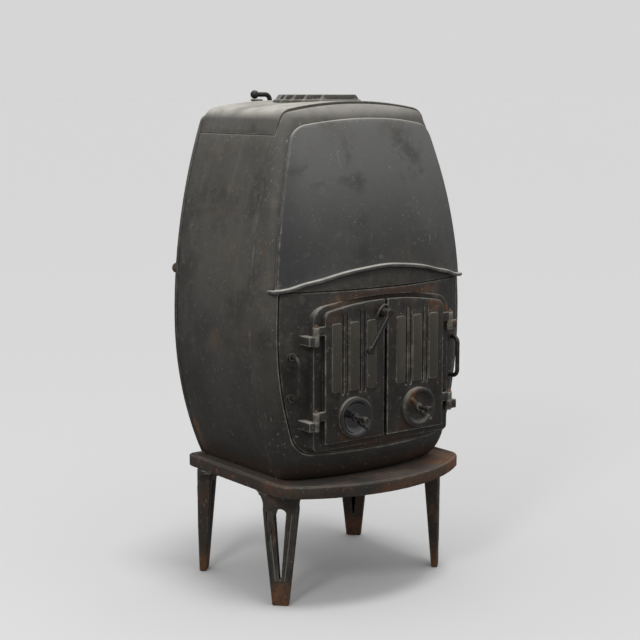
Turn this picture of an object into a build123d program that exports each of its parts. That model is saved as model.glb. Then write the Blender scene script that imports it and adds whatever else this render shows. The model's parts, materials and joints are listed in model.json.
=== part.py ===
"""Free-standing cast-iron room stove: a barrel-sided body with a bowed front, on four pierced legs.

Millimetres, +Z up, -Y towards the front. The origin is on the floor, under the middle of the
whole stove's outer box.
"""
import math
import os

from build123d import *

# ---- body shell: barrel-shaped seen from the front, straight from front to back ----
body_half_width = 254.0
belly_height = 541.0
lower_side_radius = 705.0
upper_side_radius = 1231.0
body_floor = 249.0
crown_height = 988.0
crown_radius = 900.0
shoulder_radius = 36.0
wall = 7.0
seam_y = -92.0
seam_gap = 0.4
back_y = 180.0
back_thickness = 9.0
back_overhang = 2.0
back_crown_drop = 12.0
back_corner = 20.0
top_seam_height = 923.0
flange_width = 46.0
flange_thickness = 8.0
seat_gap = 0.3

# ---- front: bowed in plan, leaning back above the belly ----
bow_radius = 572.0
bow_centre_y = 375.5
lean_radius = 1300.0
lean_start = 560.0
lower_lean_radius = 3000.0
toe_height = 318.0
toe_setback = 52.0
frame_wall = 8.0
frame_crown_drop = 6.0
corner_rounding = 42.0
corner_crease = 1.5
crown_rounding = 34.0

# ---- raised upper panel and its eyebrow ledge ----
panel_inset = 18.0
panel_proud = 6.5
panel_crown_drop = 15.0
panel_corner = 62.0
panel_lap = 12.0
upper_opening_bottom = 682.0
ledge_thickness = 6.5
ledge_proud = 12.0
ledge_line = [(0, 673.5), (48, 670.3), (114, 660.5), (154, 651), (186, 644.5), (209, 637.5),
              (226, 634.5), (244, 634)]

# ---- lift-out lower plate with the door casing ----
plate_inset = 28.0
plate_gap = 2.5
plate_bottom = 308.0
plate_top = 625.5
plate_corner = 46.0
plate_top_corner = 5.0
lip_lap = 8.0
lip_corner = 20.0
lip_thickness = 6.0
casing_half_width = 172.0
casing_bottom = 317.0
casing_top = 613.0
casing_arch_radius = 800.0
casing_corner = 34.0
casing_foot_corner = 10.0
casing_face_y = -187.0
casing_face_thickness = 10.0
casing_depth = 36.0
casing_skirt = 8.0

# ---- doors ----
door_gap = 8.0
door_half_span = 151.0
door_bottom = 331.0
door_top = 604.0
door_arch_radius = 720.0
door_corner = 18.0
door_thickness = 10.0
door_lap = 9.0
pad_width = 24.0
pad_pitch = 43.3
first_pad_x = 37.2
pad_bottom = 431.0
pad_top = 566.0
pad_height = 2.0
pad_corner = 5.0
groove_bottom = 425.0
groove_top = 583.0
groove_width = 4.0
groove_depth = 3.0
groove_offset = 5.3
hinge_x = 171.0
hinge_y = -194.0
knuckle_radius = 6.5
hinge_pin_radius = 3.5
hinge_clearance = 0.06
hinge_heights = (379.0, 545.0)
knuckle_length = 17.5
knuckle_gap = 0.4
strap_thickness = 6.6
lug_arm_width = 16.0
lug_arm_depth = 40.0

# ---- air regulators ----
air_x = 81.4
air_height = 378.0
collar_radius = 40.0
collar_bore = 35.0
collar_proud = 6.7
disc_radius = 33.6
disc_thickness = 3.0
disc_gap = 1.3
disc_rim = 3.2
disc_rim_depth = 10.4
air_hole_radius = 25.0
air_floor = 4.0
air_bridge = 10.0
air_hub_radius = 8.0
disc_bar_length = 60.0
disc_bar_width = 7.0
disc_bar_height = 5.0
spindle_radius = 4.0
spindle_clearance = 0.08
spindle_collar_radius = 7.5
spindle_collar_length = 4.0
air_knob_radius = 6.5
air_knob_length = 13.0
air_knob_reach = 42.0

# ---- latch ----
latch_x = -12.0
latch_height = 579.0
latch_pin_radius = 4.0
latch_hub_radius = 9.0
latch_arm_end = (-59.0, 510.0)
latch_arm_front_y = -226.0
latch_arm_thickness = 8.0
latch_arm_width = 9.0
latch_grip_radius = 8.0
latch_tongue_reach = 21.0
latch_tongue_width = 12.0
latch_tongue_thickness = 5.0
latch_tongue_tilt = 70.0

# ---- lift handles ----
handle_x = 204.0
handle_low = 424.0
handle_high = 505.0
handle_rod_radius = 4.4
handle_rod_y = -183.0
handle_corner = 13.0
handle_foot_radius = 8.0
handle_foot_depth = 12.0

# ---- base plate and legs ----
base_half_width = 230.0
base_front_y = -245.0
base_front_radius = 360.0
base_rear_y = 183.0
base_front_corner = 45.0
base_rear_corner = 20.0
rim_height = 24.0
rim_width = 9.0
apron_drop = 3.0
base_wall = 8.0
foot_x = 203.8
foot_front_y = -121.3
foot_rear_y = 157.3
foot_width = 33.0
waist_width = 72.0
waist_height = 195.0
leg_head_width = 105.0
leg_outer_face = 7.0
leg_foot_thickness = 14.0
leg_head_thickness = 31.6
window_top_width = 24.0
window_tip_width = 3.0
window_top = 189.0
window_tip = 52.0
flute_width = 3.0
flute_depth = 2.0
leg_flange_width = 92.0
leg_flange_depth = 40.0
leg_flange_thickness = 8.0
leg_pad_margin = 6.0
leg_bolt_radius = 4.0
leg_bolt_spread = 30.0
leg_bolt_inset = 32.0
leg_bolt_head_radius = 7.0
leg_bolt_head_height = 5.5
leg_bolt_engagement = 10.0
leg_inset = 1.0

# ---- top: grille, flue collar, damper ----
grille_y = 28.0
grille_radius = 90.0
grille_rim = 10.0
grille_top = 1000.0
slat_count = 7
slat_width = 9.0
slat_height = 7.0
cross_rib_x = 38.0
cross_rib_width = 6.0
air_outlet_radius = 72.0
spigot_wall = 4.0
spigot_depth = 14.0
flue_height = 865.0
flue_bore_radius = 60.0
flue_throat_radius = 58.0
flue_socket_depth = 40.0
flue_wall = 7.0
flue_end_y = 245.0
flue_flange_radius = 87.0
flue_flange_thickness = 8.0
flue_bolt_radius = 3.0
flue_bolt_circle = 77.0
flue_bolt_head_radius = 5.5
flue_bolt_head_height = 5.0
damper_y = 195.0
damper_rod_radius = 5.0
damper_clearance = 0.08
damper_boss_radius = 8.5
blade_radius = 56.0
blade_thickness = 3.0
lever_height = 1000.0
lever_reach = 39.0
lever_bend = 12.0
ball_radius = 9.0
lever_rest_width = 12.0
lever_rest_thickness = 4.0

# ---- inside ----
liner_x = 168.0
liner_thickness = 9.0
liner_top = 690.0
liner_front_y = -66.0
liner_rear_y = 150.0
liner_ledge_depth = 10.0
liner_ledge_height = 9.0
rear_liner_half_width = 160.0
shelf_half_width = 177.0
shelf_front_y = -20.0
shelf_thickness = 8.0
grate_height = 322.0
grate_thickness = 12.0
grate_margin = 2.0
grate_slots = 9
grate_slot_width = 14.0
grate_frame = 14.0
pan_half_width = 128.0
pan_front_y = -62.0
pan_length = 192.0
pan_height = 44.0
pan_wall = 2.0
stud_radius = 5.0
stud_hole_clearance = 0.3
stud_head_radius = 6.0
stud_head_height = 6.0
stud_inset = 40.0
stud_heights = (300.0, 900.0)
middle_stud_x = 236.0
middle_stud_height = 645.0
nut_radius = 13.0
nut_height = 12.0
nut_dome = 9.0
frame_bolt_radius = 4.0
frame_bolt_head_radius = 7.0
frame_bolt_head_height = 5.5
frame_bolt_inset = 30.0
frame_bolt_heights = (300.0, 600.0, 880.0)

base_top = body_floor + apron_drop
base_bottom = base_top - rim_height
standing_height = body_floor + seat_gap
shell_front_y = seam_y + seam_gap
shell_rear_y = back_y - back_thickness - seat_gap
door_back_y = casing_face_y - seat_gap
door_front_y = door_back_y - door_thickness
nose_top = crown_height - frame_crown_drop + 1.5
far = 420.0


def half_width(height, inset=0.0):
    """Half the body's width at a height, on an outline moved inwards by inset."""
    radius = (lower_side_radius if height < belly_height else upper_side_radius) - inset
    side = math.sqrt(radius**2 - (height - belly_height) ** 2)
    return body_half_width - inset - radius + side


def crown(x, inset=0.0, drop=0.0):
    """Height of the crowned top at x."""
    radius = crown_radius - inset
    return crown_height - drop - crown_radius + math.sqrt(radius**2 - x**2)


def shoulder(inset=0.0, drop=0.0):
    """The point where the side arc meets the crown arc."""
    height = crown_height - 25.0
    for _ in range(30):
        height = crown(half_width(height, inset), inset, drop)
    return half_width(height, inset), height


def side_arcs(inset, bottom, top):
    """Both sides of the body's outline as arcs inside an open BuildLine, from bottom to top."""
    spans = [(bottom, belly_height), (belly_height, top)] if bottom < belly_height else [(bottom, top)]
    for low, high in spans:
        middle = (low + high) / 2
        for side in (1, -1):
            ThreePointArc((side * half_width(low, inset), low),
                          (side * half_width(middle, inset), middle),
                          (side * half_width(high, inset), high))


def barrel(at_y, inset=0.0, drop=0.0, corner=shoulder_radius, floor=body_floor):
    """The body's whole outline as a sketch that faces the front."""
    corner_x, corner_z = shoulder(inset, drop)
    with BuildSketch(Plane.XZ.offset(-at_y)) as outline:
        with BuildLine():
            Line((-half_width(floor, inset), floor), (half_width(floor, inset), floor))
            side_arcs(inset, floor, corner_z)
            ThreePointArc((-corner_x, corner_z), (0, crown(0, inset, drop)), (corner_x, corner_z))
        make_face()
        fillet(outline.vertices().group_by(Axis.Y)[-1], max(corner - inset, 4.0))
    return outline.sketch


def band(at_y, inset, bottom, top, foot_corner, head_corner):
    """The part of the body's outline between two heights, as a sketch that faces the front."""
    with BuildSketch(Plane.XZ.offset(-at_y)) as outline:
        with BuildLine():
            Line((-half_width(bottom, inset), bottom), (half_width(bottom, inset), bottom))
            side_arcs(inset, bottom, top)
            Line((-half_width(top, inset), top), (half_width(top, inset), top))
        make_face()
        fillet(outline.vertices().group_by(Axis.Y)[0], foot_corner)
        fillet(outline.vertices().group_by(Axis.Y)[-1], head_corner)
    return outline.sketch


def front_radius(height, inset=0.0):
    """Distance of the front surface from the bow's centre at a height."""
    if height < toe_height:
        curl = (toe_height - height) / (toe_height - body_floor + 4.0)
        return front_radius(toe_height, inset) - toe_setback * (1 - math.sqrt(1 - curl**2))
    if height < lean_start:
        return bow_radius - inset - (lean_start - height) ** 2 / (2 * lower_lean_radius)
    lean = math.sqrt(lean_radius**2 - (height - lean_start) ** 2)
    brow = max(0.0, height - (nose_top - crown_rounding))
    turn = crown_rounding - math.sqrt(crown_rounding**2 - brow**2)
    return bow_radius - inset - lean_radius + lean - turn


def front_y(x, height, inset=0.0):
    """Where the front surface lies at a place across the stove."""
    return bow_centre_y - math.sqrt(front_radius(height, inset) ** 2 - x**2)


def plan_section(height, inset):
    """A horizontal cut through the bowed nose, with rounded front corners."""
    half = half_width(height) + corner_crease - inset
    rear_y = seam_y + 100.0
    corner_y = front_y(half, height, inset)
    with BuildSketch(Plane.XY.offset(height)) as section:
        with BuildLine():
            Polyline((-half, corner_y), (-half, rear_y), (half, rear_y), (half, corner_y))
            ThreePointArc((half, corner_y), (0, front_y(0, height, inset)), (-half, corner_y))
        make_face()
        fillet(section.vertices().group_by(Axis.Y)[0], corner_rounding - inset)
    return section.sketch


def nose(inset):
    """The solid behind the bowed front surface, moved inwards by inset."""
    levels = [body_floor - 3, 262, 285, toe_height, 380, 470, lean_start, 650, 740, 830, 900]
    levels += [nose_top - crown_rounding * share for share in (1.0, 0.72, 0.46, 0.24, 0.08, 0.02)]
    sections = [plan_section(height, inset) for height in levels]
    with BuildPart() as solid:
        for section in sections:
            add(section)
        loft()
    return solid.part


def arch(at_y, half, bottom, top, radius, corner, foot_corner=3.0):
    """A window outline with a low arched head, as a sketch that faces the front."""
    spring = top - radius + math.sqrt(radius**2 - half**2)
    with BuildSketch(Plane.XZ.offset(-at_y)) as window:
        with BuildLine():
            Polyline((-half, spring), (-half, bottom), (half, bottom), (half, spring))
            ThreePointArc((-half, spring), (0, top), (half, spring))
        make_face()
        fillet(window.vertices().group_by(Axis.Y)[-1], corner)
        fillet(window.vertices().group_by(Axis.Y)[0], foot_corner)
    return window.sketch


def ledge_band(lower, upper):
    """The eyebrow ledge seen from the front, between two offsets from its upper edge."""
    right = [(x, z) for x, z in ledge_line]
    across = [(-x, z) for x, z in reversed(right[1:])] + right
    low = [(x, z + lower) for x, z in across]
    high = [(x, z + upper) for x, z in across]
    with BuildSketch(Plane.XZ.offset(-seam_y)) as outline:
        with BuildLine():
            Spline(*low)
            Line(low[-1], high[-1])
            Spline(*high[::-1])
            Line(high[0], low[0])
        make_face()
    return outline.sketch


def base_outline(height, inset=0.0):
    """The base plate's outline in plan."""
    half = base_half_width - inset
    radius = base_front_radius - inset
    front = base_front_y + inset
    corner_y = front + radius - math.sqrt(radius**2 - half**2)
    with BuildSketch(Plane.XY.offset(height)) as outline:
        with BuildLine():
            Polyline((-half, corner_y), (-half, base_rear_y - inset), (half, base_rear_y - inset),
                     (half, corner_y))
            ThreePointArc((half, corner_y), (0, front), (-half, corner_y))
        make_face()
        fillet(outline.vertices().group_by(Axis.Y)[0], base_front_corner - inset)
        fillet(outline.vertices().group_by(Axis.Y)[-1], base_rear_corner - inset)
    return outline.sketch


def write(builder, name):
    """Label a finished piece and save it as its own STEP file."""
    builder.part.label = name
    export_step(builder.part, f"parts/{name}.step")


os.makedirs("parts", exist_ok=True)

# ---------------------------------------------------------------- base plate and legs
rim_edge = base_outline(base_bottom)
rim_inner = base_outline(body_floor, rim_width)
cavity = base_outline(base_bottom, base_wall)
leg_limit = base_outline(0.0, leg_inset)
legs = {
    "leg_front_left": (-foot_x, foot_front_y, -1, -1),
    "leg_front_right": (foot_x, foot_front_y, 1, -1),
    "leg_rear_left": (-foot_x, foot_rear_y, -1, 1),
    "leg_rear_right": (foot_x, foot_rear_y, 1, 1),
}
root_half = math.sqrt(0.5)


def leg_plane(name, height=0.0):
    """A leg's own plane: x across the leg, y up, z outwards along the plan's diagonal."""
    x, y, side, end = legs[name]
    return Plane(origin=(x, y, height), x_dir=(-end * root_half, side * root_half, 0),
                 z_dir=(side * root_half, end * root_half, 0))


def leg_bolt_points(name):
    """Places of a leg's two bolts in plan."""
    plane = leg_plane(name)
    return [plane.from_local_coords((spread, 0, -leg_bolt_inset))
            for spread in (-leg_bolt_spread, leg_bolt_spread)]


pad_depth = body_floor - base_wall - base_bottom
with BuildPart() as leg_pads:
    for leg_name in legs:
        with BuildSketch(leg_plane(leg_name, base_bottom)):
            with Locations((0, pad_depth / 2)):
                Rectangle(leg_flange_width + 2 * leg_pad_margin, pad_depth)
        extrude(amount=leg_outer_face + leg_pad_margin)
        with BuildSketch(leg_plane(leg_name, base_bottom)):
            with Locations((0, pad_depth / 2)):
                Rectangle(leg_flange_width + 2 * leg_pad_margin, pad_depth)
        extrude(amount=-leg_flange_depth - leg_pad_margin)
    extrude(rim_edge, amount=rim_height, mode=Mode.INTERSECT)

with BuildPart() as base_plate:
    extrude(rim_edge, amount=rim_height)
    extrude(rim_inner, amount=rim_height, mode=Mode.SUBTRACT)
    extrude(cavity, amount=pad_depth, mode=Mode.SUBTRACT)
    add(leg_pads.part)
    for leg_name in legs:
        for spot in leg_bolt_points(leg_name):
            with Locations((spot.X, spot.Y, base_bottom + leg_bolt_engagement / 2)):
                Cylinder(leg_bolt_radius + seat_gap, leg_bolt_engagement + seat_gap, mode=Mode.SUBTRACT)
write(base_plate, "base_plate")

leg_top = base_bottom - seat_gap
for leg_name in legs:
    plane = leg_plane(leg_name)
    with BuildPart() as leg:
        with BuildSketch(plane.offset(leg_outer_face)):
            with BuildLine():
                for side in (1, -1):
                    Line((side * foot_width / 2, 0), (side * waist_width / 2, waist_height))
                    ThreePointArc((side * waist_width / 2, waist_height),
                                  (side * (waist_width + 6) / 2, (waist_height + leg_top) / 2 + 4),
                                  (side * leg_head_width / 2, leg_top))
                Line((-foot_width / 2, 0), (foot_width / 2, 0))
                Line((-leg_head_width / 2, leg_top), (leg_head_width / 2, leg_top))
            make_face()
        extrude(amount=-leg_head_thickness)
        with BuildSketch(Plane(origin=plane.origin, x_dir=plane.z_dir, z_dir=-plane.x_dir)):
            with BuildLine():
                Polyline((leg_outer_face, 0), (leg_outer_face - leg_foot_thickness, 0),
                         (leg_outer_face - leg_head_thickness, leg_top), (leg_outer_face, leg_top),
                         close=True)
            make_face()
        extrude(amount=leg_head_width, both=True, mode=Mode.INTERSECT)
        with BuildSketch(plane.offset(leg_outer_face)):
            with BuildLine():
                Polyline((-window_top_width / 2, window_top), (-window_tip_width / 2, window_tip),
                         (window_tip_width / 2, window_tip), (window_top_width / 2, window_top))
                ThreePointArc((-window_top_width / 2, window_top),
                              (0, window_top + window_top_width / 3), (window_top_width / 2, window_top))
            make_face()
        extrude(amount=-leg_head_thickness * 2, mode=Mode.SUBTRACT)
        with BuildSketch(plane.offset(leg_outer_face)):
            for side in (1, -1):
                low_x = side * (foot_width / 2 + window_tip_width / 2) / 2
                high_x = side * (waist_width / 2 + window_top_width / 2) / 2
                with BuildLine():
                    Polyline((low_x - flute_width / 2, window_tip), (low_x + flute_width / 2, window_tip),
                             (high_x + flute_width / 2, window_top), (high_x - flute_width / 2, window_top),
                             close=True)
                make_face()
        extrude(amount=-flute_depth, mode=Mode.SUBTRACT)
        with BuildSketch(leg_plane(leg_name, leg_top - leg_flange_thickness)):
            with Locations((0, leg_flange_thickness / 2)):
                Rectangle(leg_flange_width, leg_flange_thickness)
        extrude(amount=-leg_flange_depth)
        extrude(leg_limit, amount=body_floor, mode=Mode.INTERSECT)
        for spot in leg_bolt_points(leg_name):
            with Locations((spot.X, spot.Y, leg_top - leg_flange_thickness / 2)):
                Cylinder(leg_bolt_radius + seat_gap, leg_flange_thickness * 2, mode=Mode.SUBTRACT)
    write(leg, leg_name)

with BuildPart() as leg_bolts:
    for leg_name in legs:
        for spot in leg_bolt_points(leg_name):
            under = leg_top - leg_flange_thickness - seat_gap
            with BuildSketch(Plane.XY.offset(under - leg_bolt_head_height)):
                with Locations((spot.X, spot.Y)):
                    RegularPolygon(leg_bolt_head_radius, 6)
            extrude(amount=leg_bolt_head_height)
            with BuildSketch(Plane.XY.offset(under)):
                with Locations((spot.X, spot.Y)):
                    Circle(leg_bolt_radius)
            extrude(amount=base_bottom + leg_bolt_engagement - under - seat_gap)
write(leg_bolts, "leg_bolts")

# ---------------------------------------------------------------- side panels
outer = barrel(shell_rear_y)
inner = barrel(shell_rear_y, wall)
flange_rear = [barrel(shell_rear_y), barrel(shell_rear_y, flange_width)]
front_flange_y = shell_front_y + flange_thickness
shell_length = shell_rear_y - shell_front_y
stud_points = [(middle_stud_x, middle_stud_height)]
stud_points += [(half_width(height) - stud_inset, height) for height in stud_heights]
frame_bolt_points = [(half_width(z) - frame_bolt_inset, z) for z in frame_bolt_heights]
flange_front = [barrel(front_flange_y), barrel(front_flange_y, flange_width)]

for panel_name, side in (("side_panel_left", -1), ("side_panel_right", 1)):
    with BuildPart() as side_panel:
        extrude(outer, amount=shell_length)
        extrude(inner, amount=shell_length, mode=Mode.SUBTRACT)
        with BuildPart(mode=Mode.PRIVATE) as flanges:
            for outline, opening in (flange_rear, flange_front):
                extrude(outline, amount=flange_thickness)
                extrude(opening, amount=flange_thickness, mode=Mode.SUBTRACT)
        add(flanges.part)
        with Locations((-side * far / 2, 0, crown_height / 2)):
            Box(far, 2 * far, 2 * crown_height, mode=Mode.SUBTRACT)
        with Locations((0, 0, top_seam_height - seam_gap + far / 2)):
            Box(2 * far, 2 * far, far, mode=Mode.SUBTRACT)
        with Locations((0, 0, standing_height - far / 2)):
            Box(2 * far, 2 * far, far, mode=Mode.SUBTRACT)
        for x, z in stud_points:
            with BuildSketch(Plane.XZ.offset(-shell_rear_y)):
                with Locations((side * x, z)):
                    Circle(stud_radius + stud_hole_clearance)
            extrude(amount=flange_thickness, mode=Mode.SUBTRACT)
        for x, z in frame_bolt_points:
            with BuildSketch(Plane.XZ.offset(-front_flange_y)):
                with Locations((side * x, z)):
                    Circle(frame_bolt_radius + stud_hole_clearance)
            extrude(amount=flange_thickness, mode=Mode.SUBTRACT)
    write(side_panel, panel_name)

# ---------------------------------------------------------------- back panel and top plate
barrel_back = barrel(back_y, -back_overhang, back_crown_drop + back_overhang, back_corner)
flue_bolt_offset = flue_bolt_circle * root_half
flue_bolt_points = [(x, flue_height + z) for x in (-flue_bolt_offset, flue_bolt_offset)
                    for z in (-flue_bolt_offset, flue_bolt_offset)]

with BuildPart() as back_panel:
    extrude(barrel_back, amount=back_thickness)
    with Locations((0, 0, base_top + seat_gap - far / 2)):
        Box(2 * far, 2 * far, far, mode=Mode.SUBTRACT)
    rest_top = lever_height - ball_radius - seat_gap
    rest_foot = crown_height - back_crown_drop - ball_radius
    with BuildSketch(Plane.XZ.offset(-back_y)):
        with Locations((-lever_reach, (rest_top + rest_foot) / 2)):
            Rectangle(lever_rest_width, rest_top - rest_foot)
    extrude(amount=back_thickness - seat_gap)
    with BuildSketch(Plane.XZ.offset(-damper_y - ball_radius)):
        with Locations((-lever_reach, rest_top - lever_rest_thickness / 2)):
            Rectangle(lever_rest_width, lever_rest_thickness)
    extrude(amount=damper_y + ball_radius - back_y + back_thickness / 2)
    with BuildSketch(Plane.XZ.offset(-back_y)):
        with Locations((0, flue_height)):
            Circle(flue_throat_radius + seat_gap)
        for x, z in stud_points:
            with Locations((x, z), (-x, z)):
                Circle(stud_radius + stud_hole_clearance)
        for x, z in flue_bolt_points:
            with Locations((x, z)):
                Circle(flue_bolt_radius + seat_gap)
    extrude(amount=back_thickness, mode=Mode.SUBTRACT)
write(back_panel, "back_panel")

top_outer = barrel(shell_rear_y)
top_inner = barrel(shell_rear_y, wall)
top_rib = [barrel(front_flange_y), barrel(front_flange_y, flange_width / 2)]
with BuildPart() as top_plate:
    extrude(top_outer, amount=shell_length)
    extrude(top_inner, amount=shell_length, mode=Mode.SUBTRACT)
    with BuildPart(mode=Mode.PRIVATE) as front_rib:
        extrude(top_rib[0], amount=flange_thickness)
        extrude(top_rib[1], amount=flange_thickness, mode=Mode.SUBTRACT)
    add(front_rib.part)
    with Locations((0, 0, top_seam_height - far)):
        Box(2 * far, 2 * far, 2 * far, mode=Mode.SUBTRACT)
    with Locations((0, grille_y, crown_height)):
        Cylinder(air_outlet_radius, far / 4, mode=Mode.SUBTRACT)
write(top_plate, "top_plate")

with BuildPart() as cap_nuts:
    for x, z in stud_points:
        for side in (1, -1):
            with BuildSketch(Plane.XZ.offset(-back_y - seat_gap - nut_height)):
                with Locations((side * x, z)):
                    RegularPolygon(nut_radius, 6)
            extrude(amount=nut_height)
            with Locations(Plane.XZ.offset(-back_y - seat_gap - nut_height)):
                with Locations((side * x, z, -nut_dome / 2)):
                    Cylinder(nut_radius * 0.8, nut_dome)
            with BuildSketch(Plane.XZ.offset(-back_y - seat_gap - nut_height)):
                with Locations((side * x, z)):
                    Circle(stud_radius + stud_hole_clearance)
            extrude(amount=nut_height, mode=Mode.SUBTRACT)
write(cap_nuts, "cap_nuts")

with BuildPart() as tie_studs:
    for x, z in stud_points:
        for side in (1, -1):
            with BuildSketch(Plane.XZ.offset(-back_y - nut_height)):
                with Locations((side * x, z)):
                    Circle(stud_radius)
            extrude(amount=nut_height + back_thickness + flange_thickness + 3 * seat_gap)
            with BuildSketch(Plane.XZ.offset(-shell_rear_y + flange_thickness + seat_gap)):
                with Locations((side * x, z)):
                    RegularPolygon(stud_head_radius, 6)
            extrude(amount=stud_head_height)
write(tie_studs, "tie_studs")

# ---------------------------------------------------------------- front frame
skin = nose(0.0)
skin_back = nose(frame_wall)
lip_back = nose(frame_wall + lip_thickness)
frame_outline = barrel(seam_y, 0.0, frame_crown_drop)
frame_inner_outline = barrel(seam_y, frame_wall, frame_crown_drop)
frame_flange = [frame_outline, barrel(seam_y, flange_width, frame_crown_drop)]
plate_opening = band(seam_y, plate_inset - plate_gap, plate_bottom - plate_gap, plate_top + plate_gap,
                     plate_corner + plate_gap, plate_top_corner + plate_gap)
lip_outer = band(seam_y, plate_inset - lip_lap, plate_bottom - lip_lap, plate_top + lip_lap,
                 plate_corner + lip_lap, plate_top_corner + lip_lap)
lip_inner = band(seam_y, plate_inset + lip_lap, plate_bottom + lip_lap, plate_top - lip_lap,
                 lip_corner, plate_top_corner)
upper_opening = barrel(seam_y, panel_inset + panel_lap, panel_crown_drop, panel_corner,
                       upper_opening_bottom)

with BuildPart() as hollow:
    extrude(frame_inner_outline, amount=far)
    add(skin_back, mode=Mode.INTERSECT)

with BuildPart() as lip:
    extrude(lip_outer, amount=far)
    add(skin_back, mode=Mode.INTERSECT)
    add(lip_back, mode=Mode.SUBTRACT)
    extrude(lip_inner, amount=far, mode=Mode.SUBTRACT)

with BuildPart() as front_frame:
    extrude(frame_outline, amount=far)
    add(skin, mode=Mode.INTERSECT)
    add(hollow.part, mode=Mode.SUBTRACT)
    extrude(plate_opening, amount=far, mode=Mode.SUBTRACT)
    extrude(upper_opening, amount=far, mode=Mode.SUBTRACT)
    with BuildPart(mode=Mode.PRIVATE) as rear_flange:
        extrude(frame_flange[0], amount=flange_thickness)
        extrude(frame_flange[1], amount=flange_thickness, mode=Mode.SUBTRACT)
        add(skin, mode=Mode.INTERSECT)
    add(rear_flange.part)
    add(lip.part)
    with Locations((0, 0, standing_height - far / 2)):
        Box(2 * far, 2 * far, far, mode=Mode.SUBTRACT)
    for x, z in frame_bolt_points:
        with BuildSketch(Plane.XZ.offset(-seam_y)):
            with Locations((x, z), (-x, z)):
                Circle(frame_bolt_radius + stud_hole_clearance)
        extrude(amount=flange_thickness, mode=Mode.SUBTRACT)
write(front_frame, "front_frame")

with BuildPart() as frame_bolts:
    for x, z in frame_bolt_points:
        for side in (1, -1):
            head_y = seam_y - flange_thickness - seat_gap
            with BuildSketch(Plane.XZ.offset(-head_y)):
                with Locations((side * x, z)):
                    RegularPolygon(frame_bolt_head_radius, 6)
            extrude(amount=frame_bolt_head_height)
            with BuildSketch(Plane.XZ.offset(-head_y)):
                with Locations((side * x, z)):
                    Circle(frame_bolt_radius)
            extrude(amount=head_y - front_flange_y - frame_bolt_head_height)
            with BuildSketch(Plane.XZ.offset(-front_flange_y - seat_gap)):
                with Locations((side * x, z)):
                    RegularPolygon(frame_bolt_head_radius, 6)
            extrude(amount=-frame_bolt_head_height)
write(frame_bolts, "frame_bolts")

# ---------------------------------------------------------------- upper panel with its ledge
over_skin = nose(-seat_gap)
panel_skin = nose(-panel_proud)
ledge_skin = nose(-ledge_proud)
panel_outline = barrel(seam_y, panel_inset, panel_crown_drop, panel_corner,
                       ledge_line[-1][1] - ledge_thickness / 2)
ledge_edge = ledge_band(-ledge_thickness, 0.0)
below_ledge = ledge_band(-far / 4, -ledge_thickness / 2)

with BuildPart() as ledge:
    extrude(ledge_edge, amount=far)
    add(ledge_skin, mode=Mode.INTERSECT)
    add(over_skin, mode=Mode.SUBTRACT)

with BuildPart() as upper_panel:
    extrude(panel_outline, amount=far)
    add(panel_skin, mode=Mode.INTERSECT)
    add(over_skin, mode=Mode.SUBTRACT)
    extrude(below_ledge, amount=far, mode=Mode.SUBTRACT)
    add(ledge.part)
write(upper_panel, "upper_panel")

# ---------------------------------------------------------------- lower plate with its casing
plate_back = nose(frame_wall - seat_gap)
plate_outline = band(seam_y, plate_inset, plate_bottom, plate_top, plate_corner, plate_top_corner)
casing_back_y = casing_face_y + casing_depth
casing_inner_y = casing_face_y + casing_face_thickness
opening_half = door_half_span - door_lap


def casing(at_y, inset):
    """The casing's arched outline at an inset."""
    return arch(at_y, casing_half_width - inset, casing_bottom + inset, casing_top - inset,
                casing_arch_radius - inset, casing_corner - inset, casing_foot_corner)


door_opening = arch(casing_back_y, opening_half, door_bottom + door_lap, door_top - door_lap,
                    door_arch_radius - door_lap, door_corner)
with BuildPart() as casing_frame:
    extrude(casing(casing_back_y, 0), amount=casing_depth)
    extrude(casing(casing_back_y, casing_skirt), amount=casing_back_y - casing_inner_y,
            mode=Mode.SUBTRACT)
    extrude(door_opening, amount=casing_depth, mode=Mode.SUBTRACT)

with BuildPart() as lower_front_plate:
    extrude(plate_outline, amount=far)
    add(skin, mode=Mode.INTERSECT)
    add(plate_back, mode=Mode.SUBTRACT)
    extrude(casing(casing_back_y + far, casing_skirt / 2), amount=far - casing_back_y, mode=Mode.SUBTRACT)
    extrude(casing(casing_face_y, 0), amount=far, mode=Mode.SUBTRACT)
    add(casing_frame.part)
    for side in (1, -1):
        for height in hinge_heights:
            with Locations((side * (hinge_x + 2 + lug_arm_width / 2),
                            hinge_y - knuckle_radius + 3 + lug_arm_depth / 2, height - knuckle_length / 2)):
                Box(lug_arm_width, lug_arm_depth, knuckle_length)
            with Locations((side * hinge_x, hinge_y, height - knuckle_length / 2)):
                Cylinder(knuckle_radius, knuckle_length)
    for side in (1, -1):
        for height in hinge_heights:
            with Locations((side * hinge_x, hinge_y, height - knuckle_length / 2)):
                Cylinder(hinge_pin_radius + hinge_clearance, knuckle_length, mode=Mode.SUBTRACT)
write(lower_front_plate, "lower_front_plate")

# ---------------------------------------------------------------- doors
door_outline = arch(door_back_y, door_half_span, door_bottom, door_top, door_arch_radius, door_corner)
pad_columns = [first_pad_x + number * pad_pitch for number in range(3)]
ridges = [(low + high) / 2 for low, high in zip(pad_columns, pad_columns[1:])]
recess_y = door_back_y - air_floor

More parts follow.
